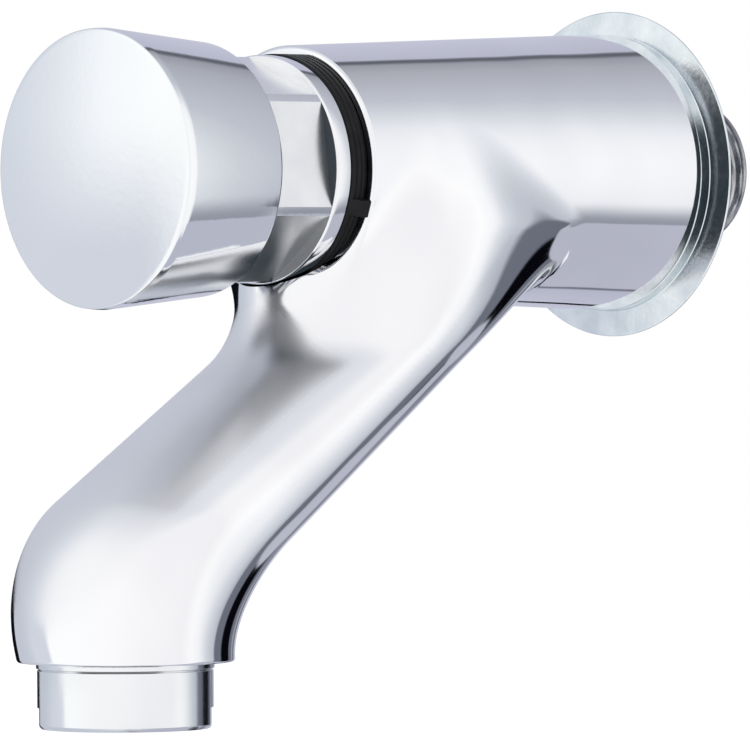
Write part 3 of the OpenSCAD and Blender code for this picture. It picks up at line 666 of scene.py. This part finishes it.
def makeGasket(s):
    outerR, edge = s.outerR, s.edge
    ridge = (bonnetSeat - barrelFront) / s.ridges
    corners = [(s.innerR, barrelFront), (outerR, barrelFront, edge)]
    for k in range(1, s.ridges):
        middle = barrelFront + k * ridge
        corners += [
            (outerR, middle - s.grooveHalf, s.ridgeRound),
            (outerR - s.groove, middle, s.grooveRound),
            (outerR, middle + s.grooveHalf, s.ridgeRound),
        ]
    corners += [(outerR, bonnetSeat, edge), (s.innerR, bonnetSeat)]
    gasket = spinPiece("bonnetGasket", roundCorners(corners, 3), steps=160)
    inside, tip = outerR - s.tabIn, outerR + s.tabOut
    outline = [
        (inside, barrelFront), (tip, barrelFront), (tip, barrelFront + ridge),
        (outerR - s.tabSink, bonnetSeat), (inside, bonnetSeat),
    ]
    turn = math.radians(s.tabTurn)
    out = Vector((math.cos(turn), 0, math.sin(turn)))
    aside = Vector((-math.sin(turn), 0, math.cos(turn)))
    points = []
    for half in (-0.5, 0.5):
        points += [out * r + aside * half * s.tabWidth + Vector((0, -u, 0)) for r, u in outline]
    count = len(outline)
    faces = [tuple(range(count)), tuple(reversed(range(count, 2 * count)))]
    faces += [(k, k + count, (k + 1) % count + count, (k + 1) % count) for k in range(count)]
    tab = meshPiece("gasketTab", points, faces)
    faceOutward(tab)
    bevel = tab.modifiers.new("edges", "BEVEL")
    bevel.width = edge * mm
    bevel.segments = 2
    applyModifiers(tab)
    combine(gasket, tab, "UNION")
    smoothPiece(gasket, 40)
    return gasket


gasket = makeGasket(settings(gasketShape))
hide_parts("bonnet_gasket")
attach(gasket, "tap")
print("gasket made")

# wall flange: pressed sheet with a raised middle
flangeShape = {
    "rimR": 24.1, "stepR": 20.3, "sheet": 0.6, "rimShare": 0.65, "holeR": 11.08, "bend": 0.3,
    "holeRound": 0.1, "insideRound": 0.15, "footRound": 0.4,
    "rimRound": 0.15, "rimTopRound": 0.2, "hollowRound": 0.18,
}


def makeFlange(s):
    rise = -cadEdge("wall_flange", 0, 1)
    t = s.sheet
    corners = [
        (s.holeR, rise, s.holeRound),
        (s.holeR, rise - t, s.holeRound),
        (s.stepR - t, rise - t, s.insideRound),
        (s.stepR - t, 0, s.footRound),
        (s.rimR, 0, s.rimRound),
        (s.rimR, t * s.rimShare, s.rimTopRound),
        (s.stepR, t, s.hollowRound),
        (s.stepR, rise, s.bend),
    ]
    flange = spinPiece("wallFlange", roundCorners(corners, 6), steps=224)
    drop = (cadEdge("wall_flange", 0, 2) + cadEdge("wall_flange", 1, 2)) / 2  # it hangs loose on the thread
    flange.data.transform(Matrix.Translation((0, 0, drop * mm)))
    smoothPiece(flange, 40)
    return flange


flange = makeFlange(settings(flangeShape))
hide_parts("wall_flange")
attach(flange, "tap")
print("flange made")

# threaded tail: a real helix, cut back at its lead-in
tailShape = {
    "crestR": 10.4775, "depth": 1.1, "pitch": 1.814, "phase": 0.71, "rootFlat": 0.12, "flank": 0.72,
    "leadIn": 0.2, "land": 0.9, "shankR": 10.0, "stepR": 0.6, "stepU": 0.4, "endU": 14.0, "endRound": 0.3,
    "boreR": 7.2, "mouthR": 8.2, "mouthDepth": 1.65, "counterR": 8.5, "counterU": 5.2, "innerRound": 0.2,
    "around": 96, "perPitch": 14,
}


def makeTail(s):
    around = s.around
    rows = round(-tailEnd / s.pitch * s.perPitch)
    rings = []
    for i in range(rows + 1):
        u = tailEnd - tailEnd * i / rows
        ring = []
        for j in range(around):
            phase = (u / s.pitch - j / around + s.phase) % 1
            wave = abs(phase - 0.5) * 2
            tooth = min(max((wave - s.rootFlat) / s.flank, 0), 1)  # flat roots and crests
            r = s.crestR - s.depth * tooth
            if u - tailEnd < s.land:
                r = s.crestR - max(s.leadIn - (u - tailEnd), 0)
            ring.append((r, u))
        rings.append(ring)
    mouthU = tailEnd + s.mouthDepth
    inner = roundCorners([
        (s.shankR - s.stepR, 0), (s.shankR, s.stepU),
        (s.shankR, s.endU, s.endRound),
        (s.counterR, s.endU, s.innerRound),
        (s.counterR, s.counterU), (s.boreR, s.counterU),
        (s.boreR, mouthU), (s.mouthR, mouthU), (s.mouthR, tailEnd, s.innerRound),
    ], 3)
    rings += [[corner] * around for corner in inner]
    points, faces = [], []
    for i, ring in enumerate(rings):
        n = (i + 1) % len(rings)
        for j, (r, u) in enumerate(ring):
            a = 2 * math.pi * j / around
            points.append((r * math.cos(a), -u, r * math.sin(a)))
            k = (j + 1) % around
            faces.append((i * around + j, n * around + j, n * around + k, i * around + k))
    tail = meshPiece("inletTail", points, faces)
    faceOutward(tail)
    smoothPiece(tail, 32)
    return tail


tail = makeTail(settings(tailShape))
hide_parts("inlet_nipple")
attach(tail, "tap")
print("tail made")

# aerator housing: turned nozzle with two small spanner flats
aeratorShape = {
    "ringR": 12.55, "ringH": 0.8, "bodyR": 12.4, "grooveDepth": 0.3, "grooveH": 0.3, "chamfer": 0.6,
    "lipR": 9.3, "boreR": 10.15, "lipH": 0.8, "threadR": 11.4,
    "edge": 0.2, "chamferRound": 0.15, "ringRound": 0.1, "grooveRound": 0.06, "topRound": 0.3,
    "flatAcross": 24.0, "flatH": 3.0, "flatTurn": 45,
    "blockDepth": 4, "blockWidth": 20, "blockSpare": 2,
}


def makeAerator(s):
    bodyR, ringR = s.bodyR, s.ringR
    grooveZ = outletZ - s.ringH
    lipTop = aeratorBottom + s.lipH
    corners = [
        (s.lipR, aeratorBottom, s.edge),
        (bodyR - s.chamfer, aeratorBottom, s.chamferRound),
        (bodyR, aeratorBottom + s.chamfer, s.chamferRound),
        (bodyR, grooveZ - s.grooveH, s.ringRound),
        (bodyR - s.grooveDepth, grooveZ - s.grooveH / 2, s.grooveRound),
        (ringR, grooveZ, s.ringRound),
        (ringR, outletZ, s.ringRound),
        (s.threadR, outletZ),
        (s.threadR, aeratorTop, s.topRound),
        (s.boreR, aeratorTop, s.edge),
        (s.boreR, lipTop),
        (s.lipR, lipTop, s.edge),
    ]
    housing = spinPiece("aeratorHousing", roundCorners(corners), steps=192, outlet=True)
    middle = Vector((0, -spoutReach, aeratorBottom + (s.flatH - s.blockSpare) / 2))
    size = (s.blockDepth, s.blockWidth, s.flatH + s.blockSpare)
    for side in (0, 180):
        turn = math.radians(s.flatTurn + side)
        out = Vector((math.cos(turn), math.sin(turn), 0)) * (s.flatAcross + s.blockDepth) / 2
        cutBlock(housing, size, (0, 0, turn), middle + out)
    smoothPiece(housing, 30)
    return housing


housing = makeAerator(settings(aeratorShape))
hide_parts("aerator_housing")
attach(housing, "tap")
print("aerator housing made")

# return spring: one wire, coiled at its rest length
springShape = {"coilR": 7.5, "wireR": 0.7, "turns": 5, "stroke": 8.0, "stepsPerTurn": 48, "sides": 14}


def makeSpring(s):
    rear, front = -cadEdge("return_spring", 1, 1), -cadEdge("return_spring", 0, 1)
    wire, sides = s.wireR, s.sides
    count = s.turns * s.stepsPerTurn
    height = front - rear - 2 * wire
    lead = math.atan(height / (s.turns * 2 * math.pi * s.coilR))
    points = []
    for k in range(count + 1):
        a = 2 * math.pi * k / s.stepsPerTurn
        for j in range(sides):
            b = 2 * math.pi * j / sides
            out, along = s.coilR + wire * math.cos(b), wire * math.sin(b)
            points.append((
                out * math.cos(a) + along * math.sin(lead) * math.sin(a),
                -(rear + wire + height * k / count + along * math.cos(lead)),
                out * math.sin(a) - along * math.sin(lead) * math.cos(a),
            ))
    ends = [tuple(range(sides)), tuple(range(count * sides, (count + 1) * sides))]
    spring = meshPiece("returnSpring", points, ends + wallFaces(count + 1, sides))
    faceOutward(spring)
    smoothPiece(spring, 50)
    return spring, rear, front


spring, springRear, springFront = makeSpring(settings(springShape))
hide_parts("return_spring")
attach(spring, "tap")
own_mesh(spring)
print("return spring made")

# finishes
softPolish = {"facing": (0, -0.75, 0.66), "from": 0.6, "to": 0.85, "height": -0.016, "fade": 0.002}
toneSpan = (0.35, 0.65)  # the part of the noise that turns from the dark tone to the light one


def nodeGroup(name, inputs, outputs):
    group = bpy.data.node_groups.new(name, "ShaderNodeTree")
    for label, value in inputs:
        socket = group.interface.new_socket(label, in_out="INPUT", socket_type="NodeSocketFloat")
        socket.default_value = value
    for label, kind in outputs:
        group.interface.new_socket(label, in_out="OUTPUT", socket_type=kind)
    return group, group.nodes.new("NodeGroupInput"), group.nodes.new("NodeGroupOutput")


def setInputs(tree, node, values):  # each value is a plain one or another node's output
    for label, value in values.items():
        if isinstance(value, bpy.types.NodeSocket):
            tree.links.new(value, node.inputs[label])
        else:
            node.inputs[label].default_value = value


def addNode(tree, kind, values=None, **choices):  # a shader node with its choices and inputs
    node = tree.nodes.new("ShaderNode" + kind)
    for name, value in choices.items():
        setattr(node, name, value)
    setInputs(tree, node, values or {})
    return node


def mathNode(tree, operation, *given):  # one step of arithmetic on sockets and plain numbers
    return addNode(tree, "Math", dict(enumerate(given)), operation=operation).outputs[0]


def setRamp(ramp, stops):  # stops are (place from 0 to 1, colour)
    while len(ramp.elements) < len(stops):
        ramp.elements.new(1)
    for element, (place, colour) in zip(ramp.elements, stops):
        element.position = place
        element.color = (*colour, 1)


def mottleGroup():  # soft patches of tone and a shallow wave of the surface
    group, given, result = nodeGroup(
        "surfaceMottle",
        [("Scale", 60.0), ("Detail", 3.0), ("Fine Scale", 900.0)],
        [("Mask", "NodeSocketFloat"), ("Fine", "NodeSocketFloat")],
    )
    place = addNode(group, "TexCoord")
    for label, scale in (("Mask", "Scale"), ("Fine", "Fine Scale")):
        noise = addNode(group, "TexNoise", {
            "Vector": place.outputs["Object"],
            "Scale": given.outputs[scale], "Detail": given.outputs["Detail"],
        })
        group.links.new(noise.outputs["Fac"], result.inputs[label])
    return group


def hollowGroup(look):  # the front of the spout below a height, where the polish is softer
    group, given, result = nodeGroup(
        "softPolish",
        [("From", look["from"]), ("To", look["to"]), ("Height", look["height"])],
        [("Mask", "NodeSocketFloat")],
    )
    place = addNode(group, "NewGeometry")
    facing = addNode(group, "VectorMath", {
        0: place.outputs["Normal"], 1: look["facing"],
    }, operation="DOT_PRODUCT")
    turned = addNode(group, "MapRange", {
        "Value": facing.outputs["Value"], "From Min": given.outputs["From"], "From Max": given.outputs["To"],
    }, interpolation_type="SMOOTHSTEP")
    split = addNode(group, "SeparateXYZ", {0: place.outputs["Position"]})
    depth = mathNode(group, "SUBTRACT", given.outputs["Height"], split.outputs["Z"])
    below = addNode(group, "MapRange", {"Value": depth, "From Max": look["fade"]})
    both = mathNode(group, "MULTIPLY", turned.outputs["Result"], below.outputs["Result"])
    group.links.new(both, result.inputs["Mask"])
    return group


mottle = mottleGroup()
hollow = hollowGroup(softPolish)


def finish(name, look):  # a material whose tone, gloss and surface all vary a little
    material = bpy.data.materials.new(name)
    material.use_nodes = True
    tree = material.node_tree
    patch = addNode(tree, "Group", {
        "Scale": look["scale"], "Detail": look.get("detail", 2.0), "Fine Scale": look["fineScale"],
    }, node_tree=mottle)
    tone = addNode(tree, "ValToRGB", {"Fac": patch.outputs["Mask"]})
    setRamp(tone.color_ramp, list(zip(toneSpan, (look["dark"], look["light"]))))
    gloss = addNode(tree, "MapRange", {
        "Value": patch.outputs["Fine"], "To Min": look["rough"][0], "To Max": look["rough"][1],
    })
    if "softRough" in look:
        soft = addNode(tree, "Group", node_tree=hollow)
        gloss = addNode(tree, "Mix", {
            "Factor": soft.outputs["Mask"], "A": gloss.outputs["Result"], "B": look["softRough"],
        })
    bump = addNode(tree, "Bump", {
        "Strength": look["bump"], "Distance": look["bumpDepth"],
        "Height": patch.outputs[look.get("bumpFrom", "Fine")],
    })
    setInputs(tree, tree.nodes["Principled BSDF"], {
        "Metallic": look.get("metal", 1), "Specular IOR Level": look.get("specular", 0.5),
        "Base Color": tone.outputs["Color"], "Roughness": gloss.outputs["Result"],
        "Normal": bump.outputs["Normal"],
    })
    return material


finishes = {
    "chrome_body": dict(
        scale=55, fineScale=900, dark=(0.86, 0.86, 0.885), light=(0.9, 0.9, 0.92), rough=(0.03, 0.06),
        bump=0.25, bumpDepth=0.0006, bumpFrom="Mask", detail=1.0, softRough=0.36,
    ),
    "chrome_bonnet": dict(
        scale=80, fineScale=1200, dark=(0.84, 0.84, 0.86), light=(0.9, 0.9, 0.92), rough=(0.03, 0.07),
        bump=0.05, bumpDepth=0.0001,
    ),
    "milled_flat": dict(
        scale=150, fineScale=2000, dark=(0.85, 0.85, 0.87), light=(0.92, 0.92, 0.93), rough=(0.26, 0.36),
        bump=0.08, bumpDepth=0.00005,
    ),
    "chrome_button": dict(
        scale=30, fineScale=900, dark=(0.86, 0.87, 0.89), light=(0.89, 0.9, 0.92), rough=(0.03, 0.055),
        bump=0.05, bumpDepth=0.0001,
    ),
    "satin_chrome": dict(
        scale=60, fineScale=2500, dark=(0.8, 0.81, 0.83), light=(0.87, 0.88, 0.9), rough=(0.1, 0.2),
        bump=0.1, bumpDepth=0.00005,
    ),
    "zinc_plate": dict(
        scale=180, fineScale=1500, dark=(0.66, 0.72, 0.76), light=(0.82, 0.86, 0.89), rough=(0.12, 0.28),
        bump=0.15, bumpDepth=0.0001, detail=5.0,
    ),
    "plated_thread": dict(
        scale=250, fineScale=2500, dark=(0.34, 0.34, 0.36), light=(0.62, 0.62, 0.64), rough=(0.15, 0.3),
        bump=0.2, bumpDepth=0.0001, detail=4.0,
    ),
    "plain_brass": dict(
        scale=200, fineScale=2000, dark=(0.62, 0.45, 0.2), light=(0.78, 0.62, 0.33), rough=(0.18, 0.35),
        bump=0.1, bumpDepth=0.00005,
    ),
    "turned_steel": dict(
        scale=200, fineScale=2500, dark=(0.5, 0.5, 0.52), light=(0.66, 0.66, 0.68), rough=(0.16, 0.3),
        bump=0.1, bumpDepth=0.00005,
    ),
    "black_rubber": dict(
        metal=0, scale=250, fineScale=2500, dark=(0.004, 0.004, 0.005), light=(0.01, 0.01, 0.011),
        rough=(0.35, 0.5), bump=0.3, bumpDepth=0.0001, specular=0.18,
    ),
    "fibre_seal": dict(
        metal=0, scale=400, fineScale=3000, dark=(0.32, 0.07, 0.05), light=(0.48, 0.14, 0.1),
        rough=(0.7, 0.9), bump=0.5, bumpDepth=0.0001,
    ),
    "white_plastic": dict(
        metal=0, scale=150, fineScale=1800, dark=(0.76, 0.76, 0.73), light=(0.83, 0.83, 0.81),
        rough=(0.35, 0.5), bump=0.1, bumpDepth=0.0001,
    ),
}
materials = {name: finish(name, look) for name, look in finishes.items()}


def dress(piece, slot):
    piece.data.materials.clear()
    piece.data.materials.append(materials[slot])


for piece, slot in (
    (body, "chrome_body"), (button, "chrome_button"), (bonnet, "chrome_bonnet"), (gasket, "black_rubber"),
    (flange, "zinc_plate"), (tail, "plated_thread"), (housing, "satin_chrome"), (spring, "turned_steel"),
):
    dress(piece, slot)
bonnet.data.materials.append(materials["milled_flat"])
flatsFrom, flatsTo = bonnetShape["recessR"] + 1, bonnetShape["headR"] - 0.02  # how far out the flats lie
for face in bonnet.data.polygons:
    x, y, z = face.center / mm
    onSide = -y > bonnetShape["stepU"] and abs(face.normal.y) < 0.2
    if onSide and flatsFrom < math.hypot(x, z) < flatsTo:
        face.material_index = 1
for row in frame["record"]["subparts"]:
    dress(nodes[row["node"]], row["material_slot"])
print("finishes set")

# studio
studio = {
    "floorZ": -0.28, "floorSize": 8.0, "floorTint": (0.9, 0.9, 0.91), "floorRough": 0.9, "floorGlow": 0.35,
    "fill": 0.8, "fillTint": (0.95, 0.96, 1.0), "darkRoom": (0.03, 0.042, 0.05), "secondBounce": 2.5,
    "keyPower": 9, "keySize": 0.8, "keyPlace": (0.5, -0.9, 1.0), "keyAim": (0, -0.05, -0.03),
}
chromeTint = (0.88, 0.88, 0.9)
tentTurns = [  # what the metal sees round the tap: degrees from +X towards the wall, red, green, blue
    (-180, 190, 196, 207), (-165, 196, 202, 213), (-150, 208, 213, 223), (-144, 210, 215, 225),
    (-140, 225, 229, 236), (-137, 243, 245, 249), (-132, 251, 252, 253), (-60, 248, 248, 250),
    (-20, 243, 243, 246), (20, 242, 242, 245), (32, 251, 251, 252), (41, 244, 245, 248),
    (46, 232, 234, 239), (50, 217, 220, 227), (55, 203, 207, 215), (62, 190, 193, 204),
    (75, 180, 183, 194), (98, 166, 168, 178), (109, 150, 152, 163), (112, 92, 94, 104),
    (115, 96, 98, 108), (116.5, 180, 182, 200), (135, 188, 190, 208), (160, 192, 196, 208),
    (180, 190, 196, 207),
]
tentCards = [  # boards and gaps round the tap: azimuth, elevation, half sizes, soft edges, tilt, tone
    dict(name="ceiling", at=(0, 90), half=(180, 20), soft=(1, 20), tone=(222, 225, 231)),
    dict(name="lowFront", at=(-143, -12), half=(9, 9), soft=(6, 6), tone=(207, 211, 222)),
    dict(name="sideShade", at=(58, -29), half=(10, 1), soft=(5, 14), tilt=22, tone=(146, 150, 162)),
    dict(name="table", at=(84, -51), half=(30, 30), soft=(2, 0.6), tilt=22, tone=(180, 182, 197)),
    dict(name="wallGap", at=(85, -4.8), half=(18, 14.5), soft=(4, 0.6), tone=(104, 109, 121)),
    dict(name="wallSlot", at=(87.5, -4.8), half=(7.5, 14.5), soft=(3, 0.6), tone=(6, 6, 12)),
    dict(name="lowLamp", at=(88.5, -39.5), half=(4.5, 3.4), soft=(3, 0.8), tone=(240, 242, 246)),
    dict(name="lowFade", at=(98, -39), half=(2, 3.4), soft=(3, 0.8), tilt=5, tone=(120, 126, 137)),
    dict(name="lowSlot", at=(107, -37), half=(6, 3.2), soft=(0.8, 0.6), tilt=16, tone=(4, 4, 5)),
    dict(name="lowShade", at=(117, -32.6), half=(4, 2.8), soft=(0.8, 0.6), tilt=30, tone=(72, 76, 86)),
    dict(name="lowPale", at=(123.5, -27.6), half=(3.2, 2.6), soft=(1, 0.6), tilt=42, tone=(160, 164, 174)),
    dict(name="lowLine", at=(129.3, -20.5), half=(1.4, 2.6), soft=(0.6, 0.6), tilt=55, tone=(18, 18, 24)),
    dict(name="leftSlot", at=(151.5, -6), half=(13.5, 8), soft=(2, 4), tone=(10, 12, 18)),
]
cameraSide = dict(name="cameraSide", at=(-52, -8), half=(52, 36), soft=(15, 14))  # dark when seen twice


def seen(tone):  # light that shows as this tone in polished chrome
    return [((c / 255 + 0.055) / 1.055) ** 2.4 / metal for c, metal in zip(tone, chromeTint)]


def cardGroup():  # a soft-edged board, placed by azimuth and elevation in degrees
    names = [
        "Azimuth", "Elevation", "At Azimuth", "At Elevation", "Half Width", "Half Height",
        "Soft Width", "Soft Height", "Tilt",
    ]
    inputs = [(name, 0.0) for name in names]
    group, given, result = nodeGroup("studioCard", inputs, [("Mask", "NodeSocketFloat")])
    value = given.outputs
    aside = mathNode(group, "SUBTRACT", value["Azimuth"], value["At Azimuth"])
    above = mathNode(group, "SUBTRACT", value["Elevation"], value["At Elevation"])
    tilt = mathNode(group, "RADIANS", value["Tilt"])
    parts = [mathNode(group, "COSINE", tilt), mathNode(group, "SINE", tilt)]
    asideTurned = [mathNode(group, "MULTIPLY", aside, part) for part in parts]
    aboveTurned = [mathNode(group, "MULTIPLY", above, part) for part in parts]
    along = mathNode(group, "ADD", asideTurned[0], aboveTurned[1])
    across = mathNode(group, "SUBTRACT", aboveTurned[0], asideTurned[1])
    edges = []
    for distance, half, soft in ((along, "Half Width", "Soft Width"), (across, "Half Height", "Soft Height")):
        edge = addNode(group, "MapRange", {
            "Value": mathNode(group, "ABSOLUTE", distance),
            "From Min": value[half], "From Max": mathNode(group, "ADD", value[half], value[soft]),
            "To Min": 1, "To Max": 0,
        }, interpolation_type="SMOOTHSTEP")
        edges.append(edge.outputs["Result"])
    group.links.new(mathNode(group, "MULTIPLY", *edges), result.inputs["Mask"])
    return group


def cardMask(group, board, turn, rise, card):  # one board, set in its place
    node = addNode(group, "Group", {
        "Azimuth": turn, "Elevation": rise, "At Azimuth": card["at"][0], "At Elevation": card["at"][1],
        "Half Width": card["half"][0], "Half Height": card["half"][1],
        "Soft Width": card["soft"][0], "Soft Height": card["soft"][1], "Tilt": card.get("tilt", 0),
    }, node_tree=board, name=card["name"])
    return node.outputs["Mask"]


def tentGroup():  # a colour for every direction round the tap
    outputs = [("Color", "NodeSocketColor"), ("Front", "NodeSocketFloat")]
    group, given, result = nodeGroup("studioTent", [], outputs)
    place = addNode(group, "TexCoord")
    way = addNode(group, "SeparateXYZ", {0: place.outputs["Generated"]}).outputs
    turn = mathNode(group, "DEGREES", mathNode(group, "ARCTAN2", way["Y"], way["X"]))
    rise = mathNode(group, "DEGREES", mathNode(group, "ARCSINE", way["Z"]))
    share = mathNode(group, "DIVIDE", mathNode(group, "ADD", turn, 180), 360)
    around = addNode(group, "ValToRGB", {"Fac": share})
    setRamp(around.color_ramp, [((degrees + 180) / 360, seen(tone)) for degrees, *tone in tentTurns])
    colour = around.outputs["Color"]
    board = cardGroup()
    for card in tentCards:
        mask = cardMask(group, board, turn, rise, card)
        tone = (*seen(card["tone"]), 1)
        mix = addNode(group, "Mix", {"Factor": mask, "A": colour, "B": tone}, data_type="RGBA")
        colour = mix.outputs["Result"]
    group.links.new(colour, result.inputs["Color"])
    group.links.new(cardMask(group, board, turn, rise, cameraSide), result.inputs["Front"])
    return group


def makeWorld(look):
    world = bpy.data.worlds.new("studioWorld")
    bpy.context.scene.world = world
    world.use_nodes = True
    tree = world.node_tree
    backdrop = tree.nodes["Background"]
    backdrop.inputs["Color"].default_value = (1, 1, 1, 1)
    tone = addNode(tree, "Group", node_tree=tentGroup()).outputs
    path = addNode(tree, "LightPath").outputs
    again = mathNode(tree, "GREATER_THAN", path["Ray Depth"], look["secondBounce"])  # metal seen in metal
    dim = addNode(tree, "Mix", {
        "Factor": mathNode(tree, "MULTIPLY", again, tone["Front"]),
        "A": tone["Color"], "B": (*look["darkRoom"], 1),
    }, data_type="RGBA")
    tent = addNode(tree, "Background", {"Color": dim.outputs["Result"]})
    fill = addNode(tree, "Background", {"Color": (*look["fillTint"], 1), "Strength": look["fill"]})
    shown = fill.outputs[0]
    for ray, light in (("Glossy", tent), ("Camera", backdrop), ("Transmission", backdrop)):
        mix = addNode(tree, "MixShader", {"Fac": path[f"Is {ray} Ray"], 1: shown, 2: light.outputs[0]})
        shown = mix.outputs[0]
    tree.links.new(shown, tree.nodes["World Output"].inputs["Surface"])


def makeFloor(look):
    deselectAll()
    bpy.ops.mesh.primitive_plane_add(size=look["floorSize"], location=(0, 0, look["floorZ"]))
    floor = bpy.context.object
    floor.name = "floor"
    bpy.ops.object.transform_apply()
    material = bpy.data.materials.new("paleFloor")
    material.use_nodes = True
    tree = material.node_tree
    path = addNode(tree, "LightPath")
    setInputs(tree, tree.nodes["Principled BSDF"], {
        "Base Color": (*look["floorTint"], 1), "Roughness": look["floorRough"],
        "Emission Color": (1, 1, 1, 1),
        "Emission Strength": mathNode(tree, "MULTIPLY", path.outputs["Is Camera Ray"], look["floorGlow"]),
    })
    floor.data.materials.append(material)
    floor.visible_glossy = False


def makeKey(look):
    lamp = bpy.data.lights.new("keyLamp", "AREA")
    lamp.energy = look["keyPower"]
    lamp.size = look["keySize"]
    key = bpy.data.objects.new("keyLamp", lamp)
    key.location = look["keyPlace"]
    key.rotation_euler = (Vector(look["keyAim"]) - key.location).to_track_quat("-Z", "Y").to_euler()
    key.visible_glossy = False
    bpy.context.scene.collection.objects.link(key)


makeWorld(studio)
makeFloor(studio)
makeKey(studio)
print("studio set")

# camera at the photograph's angle
view = {
    "azimuth": 45.63, "elevation": 0.67, "roll": 0.31, "distance": 1.2, "aim": (0, -0.04977, -0.0295),
    "lens": 398.64, "sensor": 36, "clipEnd": 50,
}


def makeCamera(look):
    az, el = math.radians(look["azimuth"]), math.radians(look["elevation"])
    back = Vector((math.sin(az) * math.cos(el), -math.cos(az) * math.cos(el), math.sin(el)))
    right = Vector((math.cos(az), math.sin(az), 0))
    up = back.cross(right)
    roll = math.radians(look["roll"])
    turnedRight = right * math.cos(roll) - up * math.sin(roll)
    turnedUp = right * math.sin(roll) + up * math.cos(roll)
    data = bpy.data.cameras.new("photoCamera")
    data.lens = look["lens"]
    data.sensor_width = look["sensor"]
    data.clip_end = look["clipEnd"]
    camera = bpy.data.objects.new("photoCamera", data)
    axes = Matrix((turnedRight, turnedUp, back)).transposed().to_4x4()
    camera.matrix_world = Matrix.Translation(Vector(look["aim"]) + back * look["distance"]) @ axes
    bpy.context.scene.collection.objects.link(camera)
    bpy.context.scene.camera = camera


makeCamera(view)
bpy.context.scene.view_settings.view_transform = "Standard"
deselectAll()
print("scene ready")
